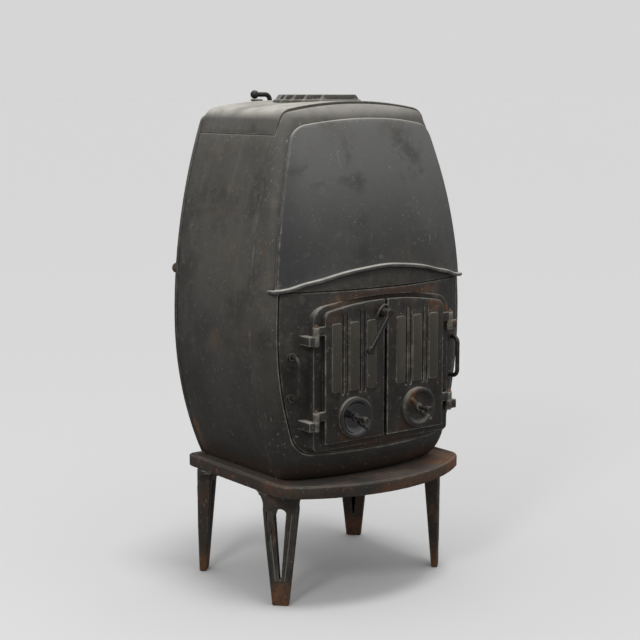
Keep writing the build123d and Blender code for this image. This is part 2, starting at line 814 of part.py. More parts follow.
for door_name, side in (("door_left", -1), ("door_right", 1)):
    with BuildPart() as door:
        extrude(door_outline, amount=door_thickness)
        with Locations((-side * far / 2 + side * door_gap / 2, door_back_y, belly_height)):
            Box(far, far, far, mode=Mode.SUBTRACT)
        with BuildSketch(Plane.XZ.offset(-door_front_y)):
            for x in pad_columns:
                with Locations((side * x, (pad_bottom + pad_top) / 2)):
                    RectangleRounded(pad_width, pad_top - pad_bottom, pad_corner)
        extrude(amount=pad_height)
        with BuildSketch(Plane.XZ.offset(-door_front_y)):
            for x in ridges:
                for away in (-groove_offset, groove_offset):
                    with Locations((side * (x + away), (groove_bottom + groove_top) / 2)):
                        SlotOverall(groove_top - groove_bottom, groove_width, rotation=90)
        extrude(amount=-groove_depth, mode=Mode.SUBTRACT)
        with BuildSketch(Plane.XZ.offset(-recess_y)):
            with Locations((side * air_x, air_height)):
                Circle(collar_radius)
        extrude(amount=door_back_y - air_floor - door_front_y + collar_proud)
        with BuildSketch(Plane.XZ.offset(-recess_y)):
            with Locations((side * air_x, air_height)):
                Circle(collar_bore)
        extrude(amount=far, mode=Mode.SUBTRACT)
        with BuildSketch(Plane.XZ.offset(-door_back_y)):
            with Locations((side * air_x, air_height)):
                Circle(air_hole_radius)
                Rectangle(air_bridge, 2 * air_hole_radius, mode=Mode.SUBTRACT)
                Circle(air_hub_radius, mode=Mode.SUBTRACT)
                Circle(spindle_radius + spindle_clearance)
        extrude(amount=air_floor, mode=Mode.SUBTRACT)
        for height in hinge_heights:
            knuckle_middle = height + knuckle_gap + knuckle_length / 2
            with Locations((side * (door_half_span - 5 + hinge_x) / 2,
                            door_front_y + strap_thickness / 2, knuckle_middle)):
                Box(hinge_x - door_half_span + 5, strap_thickness, knuckle_length)
            with Locations((side * hinge_x, hinge_y, knuckle_middle)):
                Cylinder(knuckle_radius, knuckle_length)
            with Locations((side * hinge_x, hinge_y, knuckle_middle)):
                Cylinder(hinge_pin_radius + hinge_clearance, knuckle_length, mode=Mode.SUBTRACT)
        if side < 0:
            with BuildSketch(Plane.XZ.offset(-door_back_y)):
                with Locations((latch_x, latch_height)):
                    Circle(latch_pin_radius + spindle_clearance)
            extrude(amount=door_thickness, mode=Mode.SUBTRACT)
    write(door, door_name)

with BuildPart() as hinge_pins:
    for side in (1, -1):
        for height in hinge_heights:
            foot = height - knuckle_length
            top = height + knuckle_gap + knuckle_length + knuckle_gap
            with Locations((side * hinge_x, hinge_y, (foot + top) / 2)):
                Cylinder(hinge_pin_radius, top - foot)
            with Locations((side * hinge_x, hinge_y, top + 1)):
                Cylinder(knuckle_radius - 1, 2)
            with Locations((side * hinge_x, hinge_y, top + 2)):
                Sphere(hinge_pin_radius)
            with Locations((side * hinge_x, hinge_y, foot - seat_gap - 1)):
                Cylinder(knuckle_radius - 1, 2)
            with Locations((side * hinge_x, hinge_y, foot - seat_gap)):
                Cylinder(hinge_pin_radius, 2 * seat_gap)
write(hinge_pins, "hinge_pins")

# ---------------------------------------------------------------- air regulators
disc_back_y = recess_y - disc_gap
disc_front_y = disc_back_y - disc_thickness
for side_name, side in (("left", -1), ("right", 1)):
    with BuildPart() as air_disc:
        with BuildSketch(Plane.XZ.offset(-disc_back_y)):
            with Locations((side * air_x, air_height)):
                Circle(disc_radius)
        extrude(amount=disc_rim_depth)
        with BuildSketch(Plane.XZ.offset(-disc_front_y)):
            with Locations((side * air_x, air_height)):
                Circle(disc_radius - disc_rim)
        extrude(amount=disc_rim_depth, mode=Mode.SUBTRACT)
        with BuildSketch(Plane.XZ.offset(-disc_front_y)):
            with Locations((side * air_x, air_height)):
                Rectangle(disc_bar_length, disc_bar_width, rotation=-45)
                Circle(air_hub_radius)
        extrude(amount=disc_bar_height)
        with BuildSketch(Plane.XZ.offset(-disc_back_y)):
            with Locations((side * air_x, air_height)):
                Circle(spindle_radius + seat_gap / 10)
        extrude(amount=disc_rim_depth, mode=Mode.SUBTRACT)
    write(air_disc, f"air_disc_{side_name}")

    with BuildPart() as air_knob:
        rear = door_back_y + seat_gap + spindle_collar_length
        with BuildSketch(Plane.XZ.offset(-rear)):
            with Locations((side * air_x, air_height)):
                Circle(spindle_radius)
        extrude(amount=rear - door_front_y + air_knob_reach)
        with BuildSketch(Plane.XZ.offset(-rear)):
            with Locations((side * air_x, air_height)):
                Circle(spindle_collar_radius)
        extrude(amount=spindle_collar_length)
        with BuildSketch(Plane.XZ.offset(-door_front_y + air_knob_reach - air_knob_length)):
            with Locations((side * air_x, air_height)):
                Circle(air_knob_radius)
        extrude(amount=air_knob_length)
        fillet(air_knob.edges().sort_by(Axis.Y)[0], 2.5)
    write(air_knob, f"air_knob_{side_name}")

# ---------------------------------------------------------------- latch
latch_back_y = casing_inner_y + 1.5 * seat_gap + latch_tongue_thickness
arm_rise = latch_height - latch_arm_end[1]
arm_run = latch_arm_end[0] - latch_x
arm_length = math.hypot(arm_rise, arm_run)
arm_angle = math.degrees(math.atan2(-arm_rise, arm_run))
with BuildPart() as latch_lever:
    with BuildSketch(Plane.XZ.offset(-latch_back_y)):
        with Locations((latch_x, latch_height)):
            Circle(latch_pin_radius)
    extrude(amount=latch_back_y - latch_arm_front_y)
    with BuildSketch(Plane.XZ.offset(-door_front_y + seat_gap)):
        with Locations((latch_x, latch_height)):
            Circle(latch_hub_radius)
    extrude(amount=door_front_y - seat_gap - latch_arm_front_y)
    with BuildSketch(Plane.XZ.offset(-latch_arm_front_y - latch_arm_thickness)):
        with Locations((latch_x + arm_run / 2, latch_height - arm_rise / 2)):
            Rectangle(arm_length, latch_arm_width, rotation=arm_angle)
        with Locations(latch_arm_end):
            Circle(latch_grip_radius)
    extrude(amount=latch_arm_thickness)
write(latch_lever, "latch_lever")

tilt = math.radians(latch_tongue_tilt)
tongue_reach = latch_tongue_reach - latch_tongue_width / 4
with BuildPart() as latch_tongue:
    with BuildSketch(Plane.XZ.offset(-latch_back_y)):
        with Locations((latch_x - tongue_reach * math.sin(tilt) / 2,
                        latch_height + tongue_reach * math.cos(tilt) / 2)):
            Rectangle(tongue_reach, latch_tongue_width, rotation=90 + latch_tongue_tilt)
        with Locations((latch_x, latch_height)):
            Circle(latch_hub_radius)
            Circle(latch_pin_radius + seat_gap / 10, mode=Mode.SUBTRACT)
    extrude(amount=latch_tongue_thickness)
write(latch_tongue, "latch_tongue")

# ---------------------------------------------------------------- lift handles
for side_name, side in (("left", -1), ("right", 1)):
    with BuildPart() as lift_handle:
        low_surface = front_y(handle_x, handle_low) + handle_foot_depth / 2
        high_surface = front_y(handle_x, handle_high) + handle_foot_depth / 2
        with BuildLine():
            FilletPolyline((side * handle_x, low_surface, handle_low),
                           (side * handle_x, handle_rod_y, handle_low),
                           (side * handle_x, handle_rod_y, handle_high),
                           (side * handle_x, high_surface, handle_high), radius=handle_corner)
        with BuildSketch(Plane.XZ.offset(-low_surface)):
            with Locations((side * handle_x, handle_low)):
                Circle(handle_rod_radius)
        sweep()
        for height in (handle_low, handle_high):
            with BuildSketch(Plane.XZ.offset(-front_y(handle_x, height) - handle_foot_depth / 2)):
                with Locations((side * handle_x, height)):
                    Circle(handle_foot_radius)
            extrude(amount=handle_foot_depth)
        add(over_skin, mode=Mode.SUBTRACT)
    write(lift_handle, f"lift_handle_{side_name}")

# ---------------------------------------------------------------- grille
slat_pitch = 2 * (grille_radius - grille_rim) / slat_count
grille_seat = barrel(grille_y + far / 2, -seat_gap)
with BuildPart() as grille:
    with BuildSketch(Plane.XY.offset(grille_top)):
        with Locations((0, grille_y)):
            Circle(grille_radius)
            Circle(grille_radius - grille_rim, mode=Mode.SUBTRACT)
    extrude(amount=-far / 8)
    with BuildSketch(Plane.XY.offset(grille_top)):
        with Locations((0, grille_y)):
            for number in range(slat_count):
                across = (number - (slat_count - 1) / 2) * slat_pitch
                reach = math.sqrt((grille_radius - grille_rim / 2) ** 2 - across**2)
                with Locations((0, across)):
                    Rectangle(2 * reach, slat_width)
            for x in (-cross_rib_x, cross_rib_x):
                reach = math.sqrt((grille_radius - grille_rim / 2) ** 2 - cross_rib_x**2)
                with Locations((x, 0)):
                    Rectangle(cross_rib_width, 2 * reach)
    extrude(amount=-slat_height)
    extrude(grille_seat, amount=far, mode=Mode.SUBTRACT)
    with BuildSketch(Plane.XY.offset(grille_top - slat_height / 2)):
        with Locations((0, grille_y)):
            Circle(air_outlet_radius - seat_gap)
            Circle(air_outlet_radius - spigot_wall, mode=Mode.SUBTRACT)
    extrude(amount=-slat_height / 2 - spigot_depth)
write(grille, "hot_air_grille")

# ---------------------------------------------------------------- flue collar and damper
flue_front_y = back_y + seat_gap
with BuildPart() as flue_collar:
    with BuildSketch(Plane.XZ.offset(-flue_end_y)):
        with Locations((0, flue_height)):
            Circle(flue_bore_radius + flue_wall)
    extrude(amount=flue_end_y - flue_front_y)
    with BuildSketch(Plane.XZ.offset(-flue_front_y - flue_flange_thickness)):
        with Locations((0, flue_height)):
            Circle(flue_flange_radius)
    extrude(amount=flue_flange_thickness)
    with BuildSketch(Plane.XZ.offset(-flue_end_y)):
        with Locations((0, flue_height)):
            Circle(flue_bore_radius)
    extrude(amount=flue_socket_depth, mode=Mode.SUBTRACT)
    with BuildSketch(Plane.XZ.offset(-flue_end_y)):
        with Locations((0, flue_height)):
            Circle(flue_throat_radius)
        for x, z in flue_bolt_points:
            with Locations((x, z)):
                Circle(flue_bolt_radius + seat_gap)
    extrude(amount=flue_end_y - flue_front_y, mode=Mode.SUBTRACT)
    with Locations((0, damper_y, flue_height)):
        Cylinder(damper_rod_radius + damper_clearance, far, mode=Mode.SUBTRACT)
write(flue_collar, "flue_collar")

with BuildPart() as flue_bolts:
    for x, z in flue_bolt_points:
        under_y = flue_front_y + flue_flange_thickness + seat_gap
        with BuildSketch(Plane.XZ.offset(-under_y - flue_bolt_head_height)):
            with Locations((x, z)):
                RegularPolygon(flue_bolt_head_radius, 6)
        extrude(amount=flue_bolt_head_height)
        with BuildSketch(Plane.XZ.offset(-under_y)):
            with Locations((x, z)):
                Circle(flue_bolt_radius)
        extrude(amount=under_y - shell_rear_y)
write(flue_bolts, "flue_bolts")

rod_bottom = flue_height - flue_bore_radius - flue_wall
with BuildPart() as damper_lever:
    with BuildLine():
        FilletPolyline((0, damper_y, rod_bottom), (0, damper_y, lever_height),
                       (ball_radius / 2 - lever_reach, damper_y, lever_height), radius=lever_bend)
    with BuildSketch(Plane.XY.offset(rod_bottom)):
        with Locations((0, damper_y)):
            Circle(damper_rod_radius)
    sweep()
    with Locations(Location((-lever_reach, damper_y, lever_height), (0, 0, 90))):
        Sphere(ball_radius)
write(damper_lever, "damper_lever")

with BuildPart() as damper_blade:
    with BuildSketch(Plane.XZ.offset(-damper_y - blade_thickness / 2)):
        with Locations((0, flue_height)):
            Circle(blade_radius)
    extrude(amount=blade_thickness)
    with Locations((0, damper_y, flue_height)):
        Cylinder(damper_boss_radius, blade_radius)
    with Locations((0, damper_y, flue_height)):
        Cylinder(damper_rod_radius + damper_clearance / 2, far, mode=Mode.SUBTRACT)
write(damper_blade, "damper_blade")

# ---------------------------------------------------------------- inside
for side_name, side in (("left", -1), ("right", 1)):
    with BuildPart() as side_liner:
        with Locations((side * (liner_x + liner_thickness / 2), (liner_front_y + liner_rear_y) / 2,
                        (standing_height + liner_top) / 2)):
            Box(liner_thickness, liner_rear_y - liner_front_y, liner_top - standing_height)
        with Locations((side * (liner_x - liner_ledge_depth / 2), (liner_front_y + liner_rear_y) / 2,
                        grate_height - seat_gap - liner_ledge_height / 2)):
            Box(liner_ledge_depth, liner_rear_y - liner_front_y, liner_ledge_height)
    write(side_liner, f"side_liner_{side_name}")

with BuildPart() as rear_liner:
    with Locations((0, liner_rear_y + seat_gap + liner_thickness / 2, (standing_height + liner_top) / 2)):
        Box(2 * rear_liner_half_width, liner_thickness, liner_top - standing_height)
write(rear_liner, "rear_liner")

with BuildPart() as smoke_shelf:
    with Locations((0, (shelf_front_y + liner_rear_y) / 2, liner_top + seat_gap + shelf_thickness / 2)):
        Box(2 * shelf_half_width, liner_rear_y - shelf_front_y, shelf_thickness)
write(smoke_shelf, "smoke_shelf")

grate_half = liner_x - grate_margin
grate_length = liner_rear_y - liner_front_y - 2 * grate_margin
grate_pitch = (2 * grate_half - 2 * grate_frame) / grate_slots
with BuildPart() as grate:
    with BuildSketch(Plane.XY.offset(grate_height)):
        with Locations((0, (liner_front_y + liner_rear_y) / 2)):
            Rectangle(2 * grate_half, grate_length)
            for number in range(grate_slots):
                with Locations(((number - (grate_slots - 1) / 2) * grate_pitch, 0)):
                    SlotOverall(grate_length - 2 * grate_frame, grate_slot_width, rotation=90,
                                mode=Mode.SUBTRACT)
    extrude(amount=grate_thickness)
write(grate, "grate")

with BuildPart() as ash_pan:
    with BuildSketch(Plane.XY.offset(standing_height)):
        with Locations((0, pan_front_y + pan_length / 2)):
            Rectangle(2 * pan_half_width, pan_length)
    extrude(amount=pan_height)
    with BuildSketch(Plane.XY.offset(standing_height + pan_wall)):
        with Locations((0, pan_front_y + pan_length / 2)):
            Rectangle(2 * (pan_half_width - pan_wall), pan_length - 2 * pan_wall)
    extrude(amount=pan_height, mode=Mode.SUBTRACT)
write(ash_pan, "ash_pan")
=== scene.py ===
"""A worn, rusty cast-iron room stove on a plain pale floor."""

import json
import math

import bpy
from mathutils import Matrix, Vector


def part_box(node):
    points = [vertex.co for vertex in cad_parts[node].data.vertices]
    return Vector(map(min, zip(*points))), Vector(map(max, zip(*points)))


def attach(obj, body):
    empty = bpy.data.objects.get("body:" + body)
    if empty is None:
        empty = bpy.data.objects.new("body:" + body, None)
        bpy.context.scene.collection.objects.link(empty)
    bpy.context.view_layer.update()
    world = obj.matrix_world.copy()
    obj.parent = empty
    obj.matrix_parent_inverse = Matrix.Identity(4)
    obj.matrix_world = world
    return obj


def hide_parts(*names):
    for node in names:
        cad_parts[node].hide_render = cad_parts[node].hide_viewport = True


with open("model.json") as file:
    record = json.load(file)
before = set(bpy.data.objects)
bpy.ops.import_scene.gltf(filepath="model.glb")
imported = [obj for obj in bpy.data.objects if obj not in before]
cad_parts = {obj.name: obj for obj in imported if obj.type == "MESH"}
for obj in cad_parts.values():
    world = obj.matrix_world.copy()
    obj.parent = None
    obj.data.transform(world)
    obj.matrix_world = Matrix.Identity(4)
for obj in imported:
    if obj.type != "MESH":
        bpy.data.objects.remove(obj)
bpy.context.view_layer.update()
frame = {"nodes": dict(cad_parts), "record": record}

bl_info = {
    "name": "Rusty room stove",
    "version": (1, 0, 0),
    "blender": (4, 5, 0),
    "location": "3D View > Sidebar > Stove",
    "description": "Finishes a cast-iron stove around its packed frame",
    "category": "Add Mesh",
}

# ------------------------------------------------------------------ sizes, in metres and radians
# Castings and fasteners that keep their CAD shape: node -> width of the rounded corner, steps in it
ROUNDED_NODES = {
    "front_frame": (0.0016, 2),
    "side_panel_left": (0.0022, 3),
    "side_panel_right": (0.0022, 3),
    "back_panel": (0.003, 3),
    "top_plate": (0.0022, 3),
    "upper_panel": (0.0022, 3),
    "lower_front_plate": (0.0008, 2),
    "door_left": (0.0011, 2),
    "door_right": (0.0011, 2),
    "base_plate": (0.0032, 3),
    "leg_front_left": (0.0028, 3),
    "leg_front_right": (0.0028, 3),
    "leg_rear_left": (0.0028, 3),
    "leg_rear_right": (0.0028, 3),
    "flue_collar": (0.0015, 2),
    "latch_lever": (0.0016, 2),
    "latch_tongue": (0.0007, 2),
    "air_knob_left": (0.0008, 2),
    "air_knob_right": (0.0008, 2),
    "cap_nuts": (0.0014, 2),
    "hinge_pins": (0.0007, 2),
    "flue_bolts": (0.0007, 2),
    "leg_bolts": (0.0007, 2),
    "frame_bolts": (0.0007, 2),
    "tie_studs": (0.0007, 2),
    "damper_blade": (0.0007, 2),
    "grate": (0.0015, 2),
    "ash_pan": (0.0006, 2),
    "side_liner_left": (0.0015, 2),
    "side_liner_right": (0.0015, 2),
    "rear_liner": (0.0015, 2),
    "smoke_shelf": (0.0015, 2),
}
# Corners nearer than this are merged first. Fine slivers on one casting would spoil its rounding
FINE_MERGE = 0.000002
COARSE_MERGE = {"lower_front_plate": 0.0003}
SEAM_MERGE = 0.00001
FLAT_ANGLE = math.radians(0.6)
CORNER_ANGLE = math.radians(38.0)
SMOOTH_ANGLE = math.radians(32.0)
SPIN_STEPS = 64

# Air regulators: the dish as (radius, depth) pairs, its bars as size, reach from the middle, depth
REGULATOR_PROFILE = (
    (0.0042, -0.1928), (0.0330, -0.1928), (0.0332, -0.2046), (0.0392, -0.2048), (0.0402, -0.2062),
    (0.0398, -0.2082), (0.0380, -0.2094), (0.0350, -0.2098), (0.0325, -0.2088), (0.0305, -0.2062),
    (0.0280, -0.2035), (0.0230, -0.2018), (0.0150, -0.2012), (0.0090, -0.2022), (0.0075, -0.2060),
    (0.0060, -0.2068), (0.0042, -0.2068))
REGULATOR_BARS = (
    ((0.0210, 0.0052, 0.0065), -0.0225, -0.2038),
    ((0.0210, 0.0052, 0.0065), 0.0240, -0.2038),
    ((0.0110, 0.0045, 0.0052), 0.0335, -0.2100))
BAR_SLOPE = math.radians(45.0)
BAR_CORNER = 0.0011
REGULATOR_SMOOTH = math.radians(38.0)

# Warm-air grille: its ring and spigot as (radius, height) pairs, its slats and the ribs under them
GRILLE_DEEP = 0.028
GRILLE_RIM = ((0.0900, 0.9790), (0.0905, 0.9860), (0.0885, 0.9895), (0.0835, 0.9905),
              (0.0800, 0.9890), (0.0795, 0.9800), (0.0800, 0.9790))
GRILLE_SPIGOT = ((0.0716, 0.9830), (0.0716, 0.9912), (0.0682, 0.9912), (0.0682, 0.9830))
GRILLE_SMOOTH = math.radians(34.0)
SLATS = 7
SLAT_PITCH = 0.0235
SLAT_RING = 0.0895
SLAT_MARGIN = 0.004
SLAT_MIDDLE = 0.9925
SLAT_WIDTH = 0.0100
SLAT_HEIGHT = 0.0150
SLAT_SLOPE = 0.0125
SLAT_TAPER = 0.72
SLAT_CORNER = 0.0014
RIB_SIZE = (0.006, 0.145, 0.008)
RIB_ACROSS = 0.038
RIB_MIDDLE = 0.9885

# Latch: its shaft is thinned within this reach and behind this depth. A keeper hooks round its hub
SHAFT_REACH = 0.0044
SHAFT_FRONT = -0.2045
SHAFT_EASE = 0.93
KEEPER_ROUTE = (
    (-0.0270, -0.1975, 0.5690), (-0.0272, -0.2020, 0.5730), (-0.0262, -0.2052, 0.5810),
    (-0.0215, -0.2065, 0.5900), (-0.0120, -0.2070, 0.5950), (-0.0035, -0.2068, 0.5920),
    (0.0012, -0.2062, 0.5850))
KEEPER_RADIUS = 0.0021
ROD_SMOOTH = math.radians(40.0)

# ------------------------------------------------------------------ fixed colours of the finishes
BROWN_TINT = (0.070, 0.050, 0.033)
RUN_GREY = (0.135, 0.125, 0.105)
# Brown grime and painted shade in the angles
CORNER_GRIME_AND_SHADE = (0.026, 0.018, 0.012)
WORN_GREY = (0.30, 0.285, 0.245)
SCRATCH_PALE = (0.42, 0.40, 0.36)
ORANGE = (0.19, 0.080, 0.030)
RED_BROWN = (0.085, 0.036, 0.019)
# Soot, and the dark of painted shade in grooves and beside the handle and doors
SOOT_AND_SHADE = (0.010, 0.009, 0.008)
# Smoke-dark blotches, and the painted shade laid low on the body
SMOKE_AND_SHADE = (0.016, 0.0145, 0.0125)
CRUST = (0.050, 0.032, 0.021)
WARM_GREY = (0.120, 0.098, 0.072)
# Painted light: grey laid over the upper body, as if lit from above
PAINTED_TOP_LIGHT_GREY = (0.115, 0.109, 0.096)
PAD_GREY = (0.068, 0.060, 0.046)
PAD_BROWN = (0.060, 0.046, 0.030)
CHALK = (0.62, 0.60, 0.55)
PANEL_IRON = (0.040, 0.041, 0.040)
# Painted light on the upper part of the upper panel
PANEL_PAINTED_LIGHT = (0.165, 0.164, 0.158)
PANEL_CLOUD = (0.125, 0.124, 0.118)
PANEL_SHADE = (0.030, 0.031, 0.032)
PANEL_DARK = (0.030, 0.029, 0.027)
PANEL_BROWN = (0.085, 0.068, 0.050)
PANEL_GRAIN = (0.16, 0.155, 0.14)
PANEL_DUST = (0.60, 0.58, 0.52)
PANEL_SPECK = (0.20, 0.19, 0.17)
LEDGE_GREY = (0.36, 0.34, 0.30)
GLOSS_BLACK = (0.008, 0.008, 0.008)
GLOSS_BROWN = (0.022, 0.017, 0.012)
GLOSS_WORN = (0.10, 0.09, 0.075)
STEEL_BLACK = (0.022, 0.021, 0.019)
STEEL_BROWN = (0.075, 0.052, 0.034)
STEEL_DUST = (0.22, 0.205, 0.175)
STEEL_BARE = (0.26, 0.25, 0.22)
FASTENER_RUST = (0.055, 0.032, 0.018)
FASTENER_WORN = (0.16, 0.12, 0.09)

# Where a finish changes along an axis: from nothing at the first place to all of it at the second
# Painted light on the upper body rises between these heights
PAINTED_TOP_LIGHT_BAND = (0.50, 0.93)
# Painted shade on the lower body, from the first height down to the second
PAINTED_LOW_SHADE_BAND = (0.68, 0.26)
FOOT_BAND = (0.290, 0.252)
PAD_BAND = (-0.1976, -0.1990)
GROOVE_SOOT_AND_SHADE_BAND = (-0.1968, -0.1940)
PANEL_TOP_LIGHT_BAND = (0.66, 0.95)
PANEL_SIDE_SHADE_BAND = (-0.150, -0.215)

# Full height of the casting's skin
SKIN_DEPTH = 0.002

# ------------------------------------------------------------------ stage
FLOOR_SIZE = 400.0
FLOOR_BOUNCE = 0.22
SUN_STRENGTH = 1.05
SUN_TURN = (math.radians(9.0), math.radians(2.0), 0.0)
SUN_WIDTH = math.radians(15.0)
SOFTBOX_PLACE = (-2.6, -1.5, 2.6)
SOFTBOX_AIM = (0.0, 0.0, 0.6)
SOFTBOX_SIZE = 0.6
SOFTBOX_POWER = 26.0
BACKDROP = 0.672
SKY_HEIGHTS = (-0.1, 1.0)
SKY_LIGHT = (0.60, 0.97)
FAR_CLIP = 1000.0


# ------------------------------------------------------------------ settings a user would change
class StoveColours(bpy.types.PropertyGroup):
    """Colours of the stove's finishes."""

    iron: bpy.props.FloatVectorProperty(
        name="Iron", description="Old blacked cast iron", subtype="COLOR", size=3,
        default=(0.030, 0.0275, 0.0235))
    iron_light: bpy.props.FloatVectorProperty(
        name="Worn iron", description="Iron where the blacking has gone grey", subtype="COLOR",
        size=3, default=(0.085, 0.082, 0.074))
    dust: bpy.props.FloatVectorProperty(
        name="Dust", description="Pale dust on what faces up", subtype="COLOR", size=3,
        default=(0.56, 0.54, 0.485))
    rust: bpy.props.FloatVectorProperty(
        name="Rust", description="Dry brown rust", subtype="COLOR", size=3,
        default=(0.085, 0.040, 0.020))
    fresh_rust: bpy.props.FloatVectorProperty(
        name="Fresh rust", description="Orange rust in patches", subtype="COLOR", size=3,
        default=(0.17, 0.072, 0.028))


class StoveStage(bpy.types.PropertyGroup):
    """Camera and light."""

    lens: bpy.props.FloatProperty(
        name="Lens", description="Focal length in millimetres", default=81.83, min=10.0)
    azimuth: bpy.props.FloatProperty(
        name="Azimuth", description="Direction that the camera looks in", subtype="ANGLE",
        default=0.6513)
    pitch: bpy.props.FloatProperty(
        name="Pitch", description="How far the camera looks down", subtype="ANGLE", default=0.1538)
    camera_place: bpy.props.FloatVectorProperty(
        name="Camera place", description="Where the camera stands", subtype="TRANSLATION",
        unit="LENGTH", size=3, default=(-1.8175, -2.3664, 1.0))
    floor_shade: bpy.props.FloatProperty(
        name="Floor shade", description="Brightness of the floor's paint", default=0.655, min=0.0,
        max=1.0)


# ------------------------------------------------------------------ shared node groups
def new_group(name, inputs, outputs):
    """An empty shader node group with its sockets, its input node and its output node."""
    group = bpy.data.node_groups.new(name, "ShaderNodeTree")
    for label, kind, value in inputs:
        socket = group.interface.new_socket(label, in_out="INPUT", socket_type=kind)
        if value is not None:
            socket.default_value = value
    for label, kind in outputs:
        group.interface.new_socket(label, in_out="OUTPUT", socket_type=kind)
    return group, group.nodes.new("NodeGroupInput"), group.nodes.new("NodeGroupOutput")


def math_node(tree, operation, first, second):
    """A maths node with its inputs linked or set, and its result."""
    node = tree.nodes.new("ShaderNodeMath")
    node.operation = operation
    for socket, value in zip(node.inputs, (first, second)):
        set_or_link(tree, socket, value)
    return node.outputs[0]


def set_or_link(tree, socket, value):
    """Gives a socket a number, or links it to another node's output."""
    if isinstance(value, (int, float)):
        socket.default_value = value
    else:
        tree.links.new(value, socket)


def remap(tree, value, low, high, new_low=0.0, new_high=1.0):
    """A smooth step of a value between two limits."""
    node = tree.nodes.new("ShaderNodeMapRange")
    node.interpolation_type = "SMOOTHSTEP"
    tree.links.new(value, node.inputs["Value"])
    for name, limit in (("From Min", low), ("From Max", high),
                        ("To Min", new_low), ("To Max", new_high)):
        set_or_link(tree, node.inputs[name], limit)
    return node.outputs["Result"]


def noise(tree, vector, scale, detail=4.0, roughness=0.6, distortion=0.0):
    """A noise texture's factor."""
    node = tree.nodes.new("ShaderNodeTexNoise")
    tree.links.new(vector, node.inputs["Vector"])
    for name, value in (("Scale", scale), ("Detail", detail), ("Roughness", roughness),
                        ("Distortion", distortion)):
        set_or_link(tree, node.inputs[name], value)
    return node.outputs["Fac"]


def stretched(tree, vector, scale):
    """A vector with each axis scaled."""
    node = tree.nodes.new("ShaderNodeMapping")
    node.inputs["Scale"].default_value = scale
    tree.links.new(vector, node.inputs["Vector"])
    return node.outputs["Vector"]


def cloud_group():
    """Blotches of one size: a noise cut between two levels."""
    group, given, out = new_group(
        "Blotches", [("Vector", "NodeSocketVector", None), ("Scale", "NodeSocketFloat", 8.0),
                     ("Low", "NodeSocketFloat", 0.45), ("High", "NodeSocketFloat", 0.65)],
        [("Mask", "NodeSocketFloat")])
    cloud = noise(group, given.outputs["Vector"], given.outputs["Scale"], 6.0, 0.62, 0.3)
    mask = remap(group, cloud, given.outputs["Low"], given.outputs["High"])
    group.links.new(mask, out.inputs["Mask"])
    return group


def streak_group():
    """Faint runs down a wall, broken up by blotches."""
    group, given, out = new_group(
        "Runs", [("Vector", "NodeSocketVector", None), ("Low", "NodeSocketFloat", 0.5),
                 ("High", "NodeSocketFloat", 0.72)], [("Mask", "NodeSocketFloat")])
    drawn = stretched(group, given.outputs["Vector"], (38.0, 38.0, 1.6))
    runs = remap(group, noise(group, drawn, 1.0, 5.0, 0.6, 0.4),
                 given.outputs["Low"], given.outputs["High"])
    broken = remap(group, noise(group, given.outputs["Vector"], 5.0, 4.0, 0.6), 0.38, 0.62)
    group.links.new(math_node(group, "MULTIPLY", runs, broken), out.inputs["Mask"])
    return group


def wear_and_corner_shade_group():
    """Corners rubbed bare, and grime with painted shade in the angles, from how closely surfaces
    meet.
    """
    group, given, out = new_group(
        "Edge wear and corner shade", [("Vector", "NodeSocketVector", None), ("Reach", "NodeSocketFloat", 0.0035),
                      ("Worn", "NodeSocketFloat", 0.5), ("Depth", "NodeSocketFloat", 0.014)],
        [("Edges", "NodeSocketFloat"), ("Corners", "NodeSocketFloat")])
    inward = group.nodes.new("ShaderNodeAmbientOcclusion")
    inward.inside = True
    inward.only_local = True
    inward.samples = 6
    group.links.new(given.outputs["Reach"], inward.inputs["Distance"])
    rough = noise(group, given.outputs["Vector"], 48.0, 5.0, 0.7)
    bare = math_node(group, "SUBTRACT", 1.0, inward.outputs["AO"])
    worn = math_node(group, "SUBTRACT", given.outputs["Worn"], rough)
    sharp = remap(group, math_node(group, "ADD", bare, worn), 0.12, 0.48)
    edges = math_node(group, "MULTIPLY", sharp, remap(group, bare, 0.03, 0.18))
    # Grime and painted shade: darker where surfaces close round an angle
    outward = group.nodes.new("ShaderNodeAmbientOcclusion")
    outward.samples = 5
    group.links.new(given.outputs["Depth"], outward.inputs["Distance"])
    corners = remap(group, outward.outputs["AO"], 0.80, 0.40)
    group.links.new(edges, out.inputs["Edges"])
    group.links.new(corners, out.inputs["Corners"])
    return group


def patch_group():
    """A stain with ragged borders round a place on the piece."""
    group, given, out = new_group(
        "Stain", [("Vector", "NodeSocketVector", None), ("Place", "NodeSocketVector", None),
                  ("Size", "NodeSocketVector", (0.1, 0.1, 0.1)),
                  ("Ragged", "NodeSocketFloat", 0.6)],
        [("Mask", "NodeSocketFloat")])
    away = group.nodes.new("ShaderNodeVectorMath")
    away.operation = "SUBTRACT"
    group.links.new(given.outputs["Vector"], away.inputs[0])
    group.links.new(given.outputs["Place"], away.inputs[1])
    share = group.nodes.new("ShaderNodeVectorMath")
    share.operation = "DIVIDE"
    group.links.new(away.outputs[0], share.inputs[0])
    group.links.new(given.outputs["Size"], share.inputs[1])
    length = group.nodes.new("ShaderNodeVectorMath")
    length.operation = "LENGTH"
    group.links.new(share.outputs[0], length.inputs[0])
    cloud = noise(group, given.outputs["Vector"], 34.0, 6.0, 0.66, 0.4)
    ragged = math_node(group, "MULTIPLY", math_node(group, "SUBTRACT", cloud, 0.5),
                       given.outputs["Ragged"])
    reach = math_node(group, "ADD", length.outputs["Value"],
                      math_node(group, "MULTIPLY", ragged, 2.4))
    broken = remap(group, noise(group, given.outputs["Vector"], 95.0, 4.0, 0.7),
                   0.36, 0.60, 0.25, 1.0)
    mask = math_node(group, "MULTIPLY", remap(group, reach, 1.05, 0.25), broken)
    group.links.new(mask, out.inputs["Mask"])
    return group


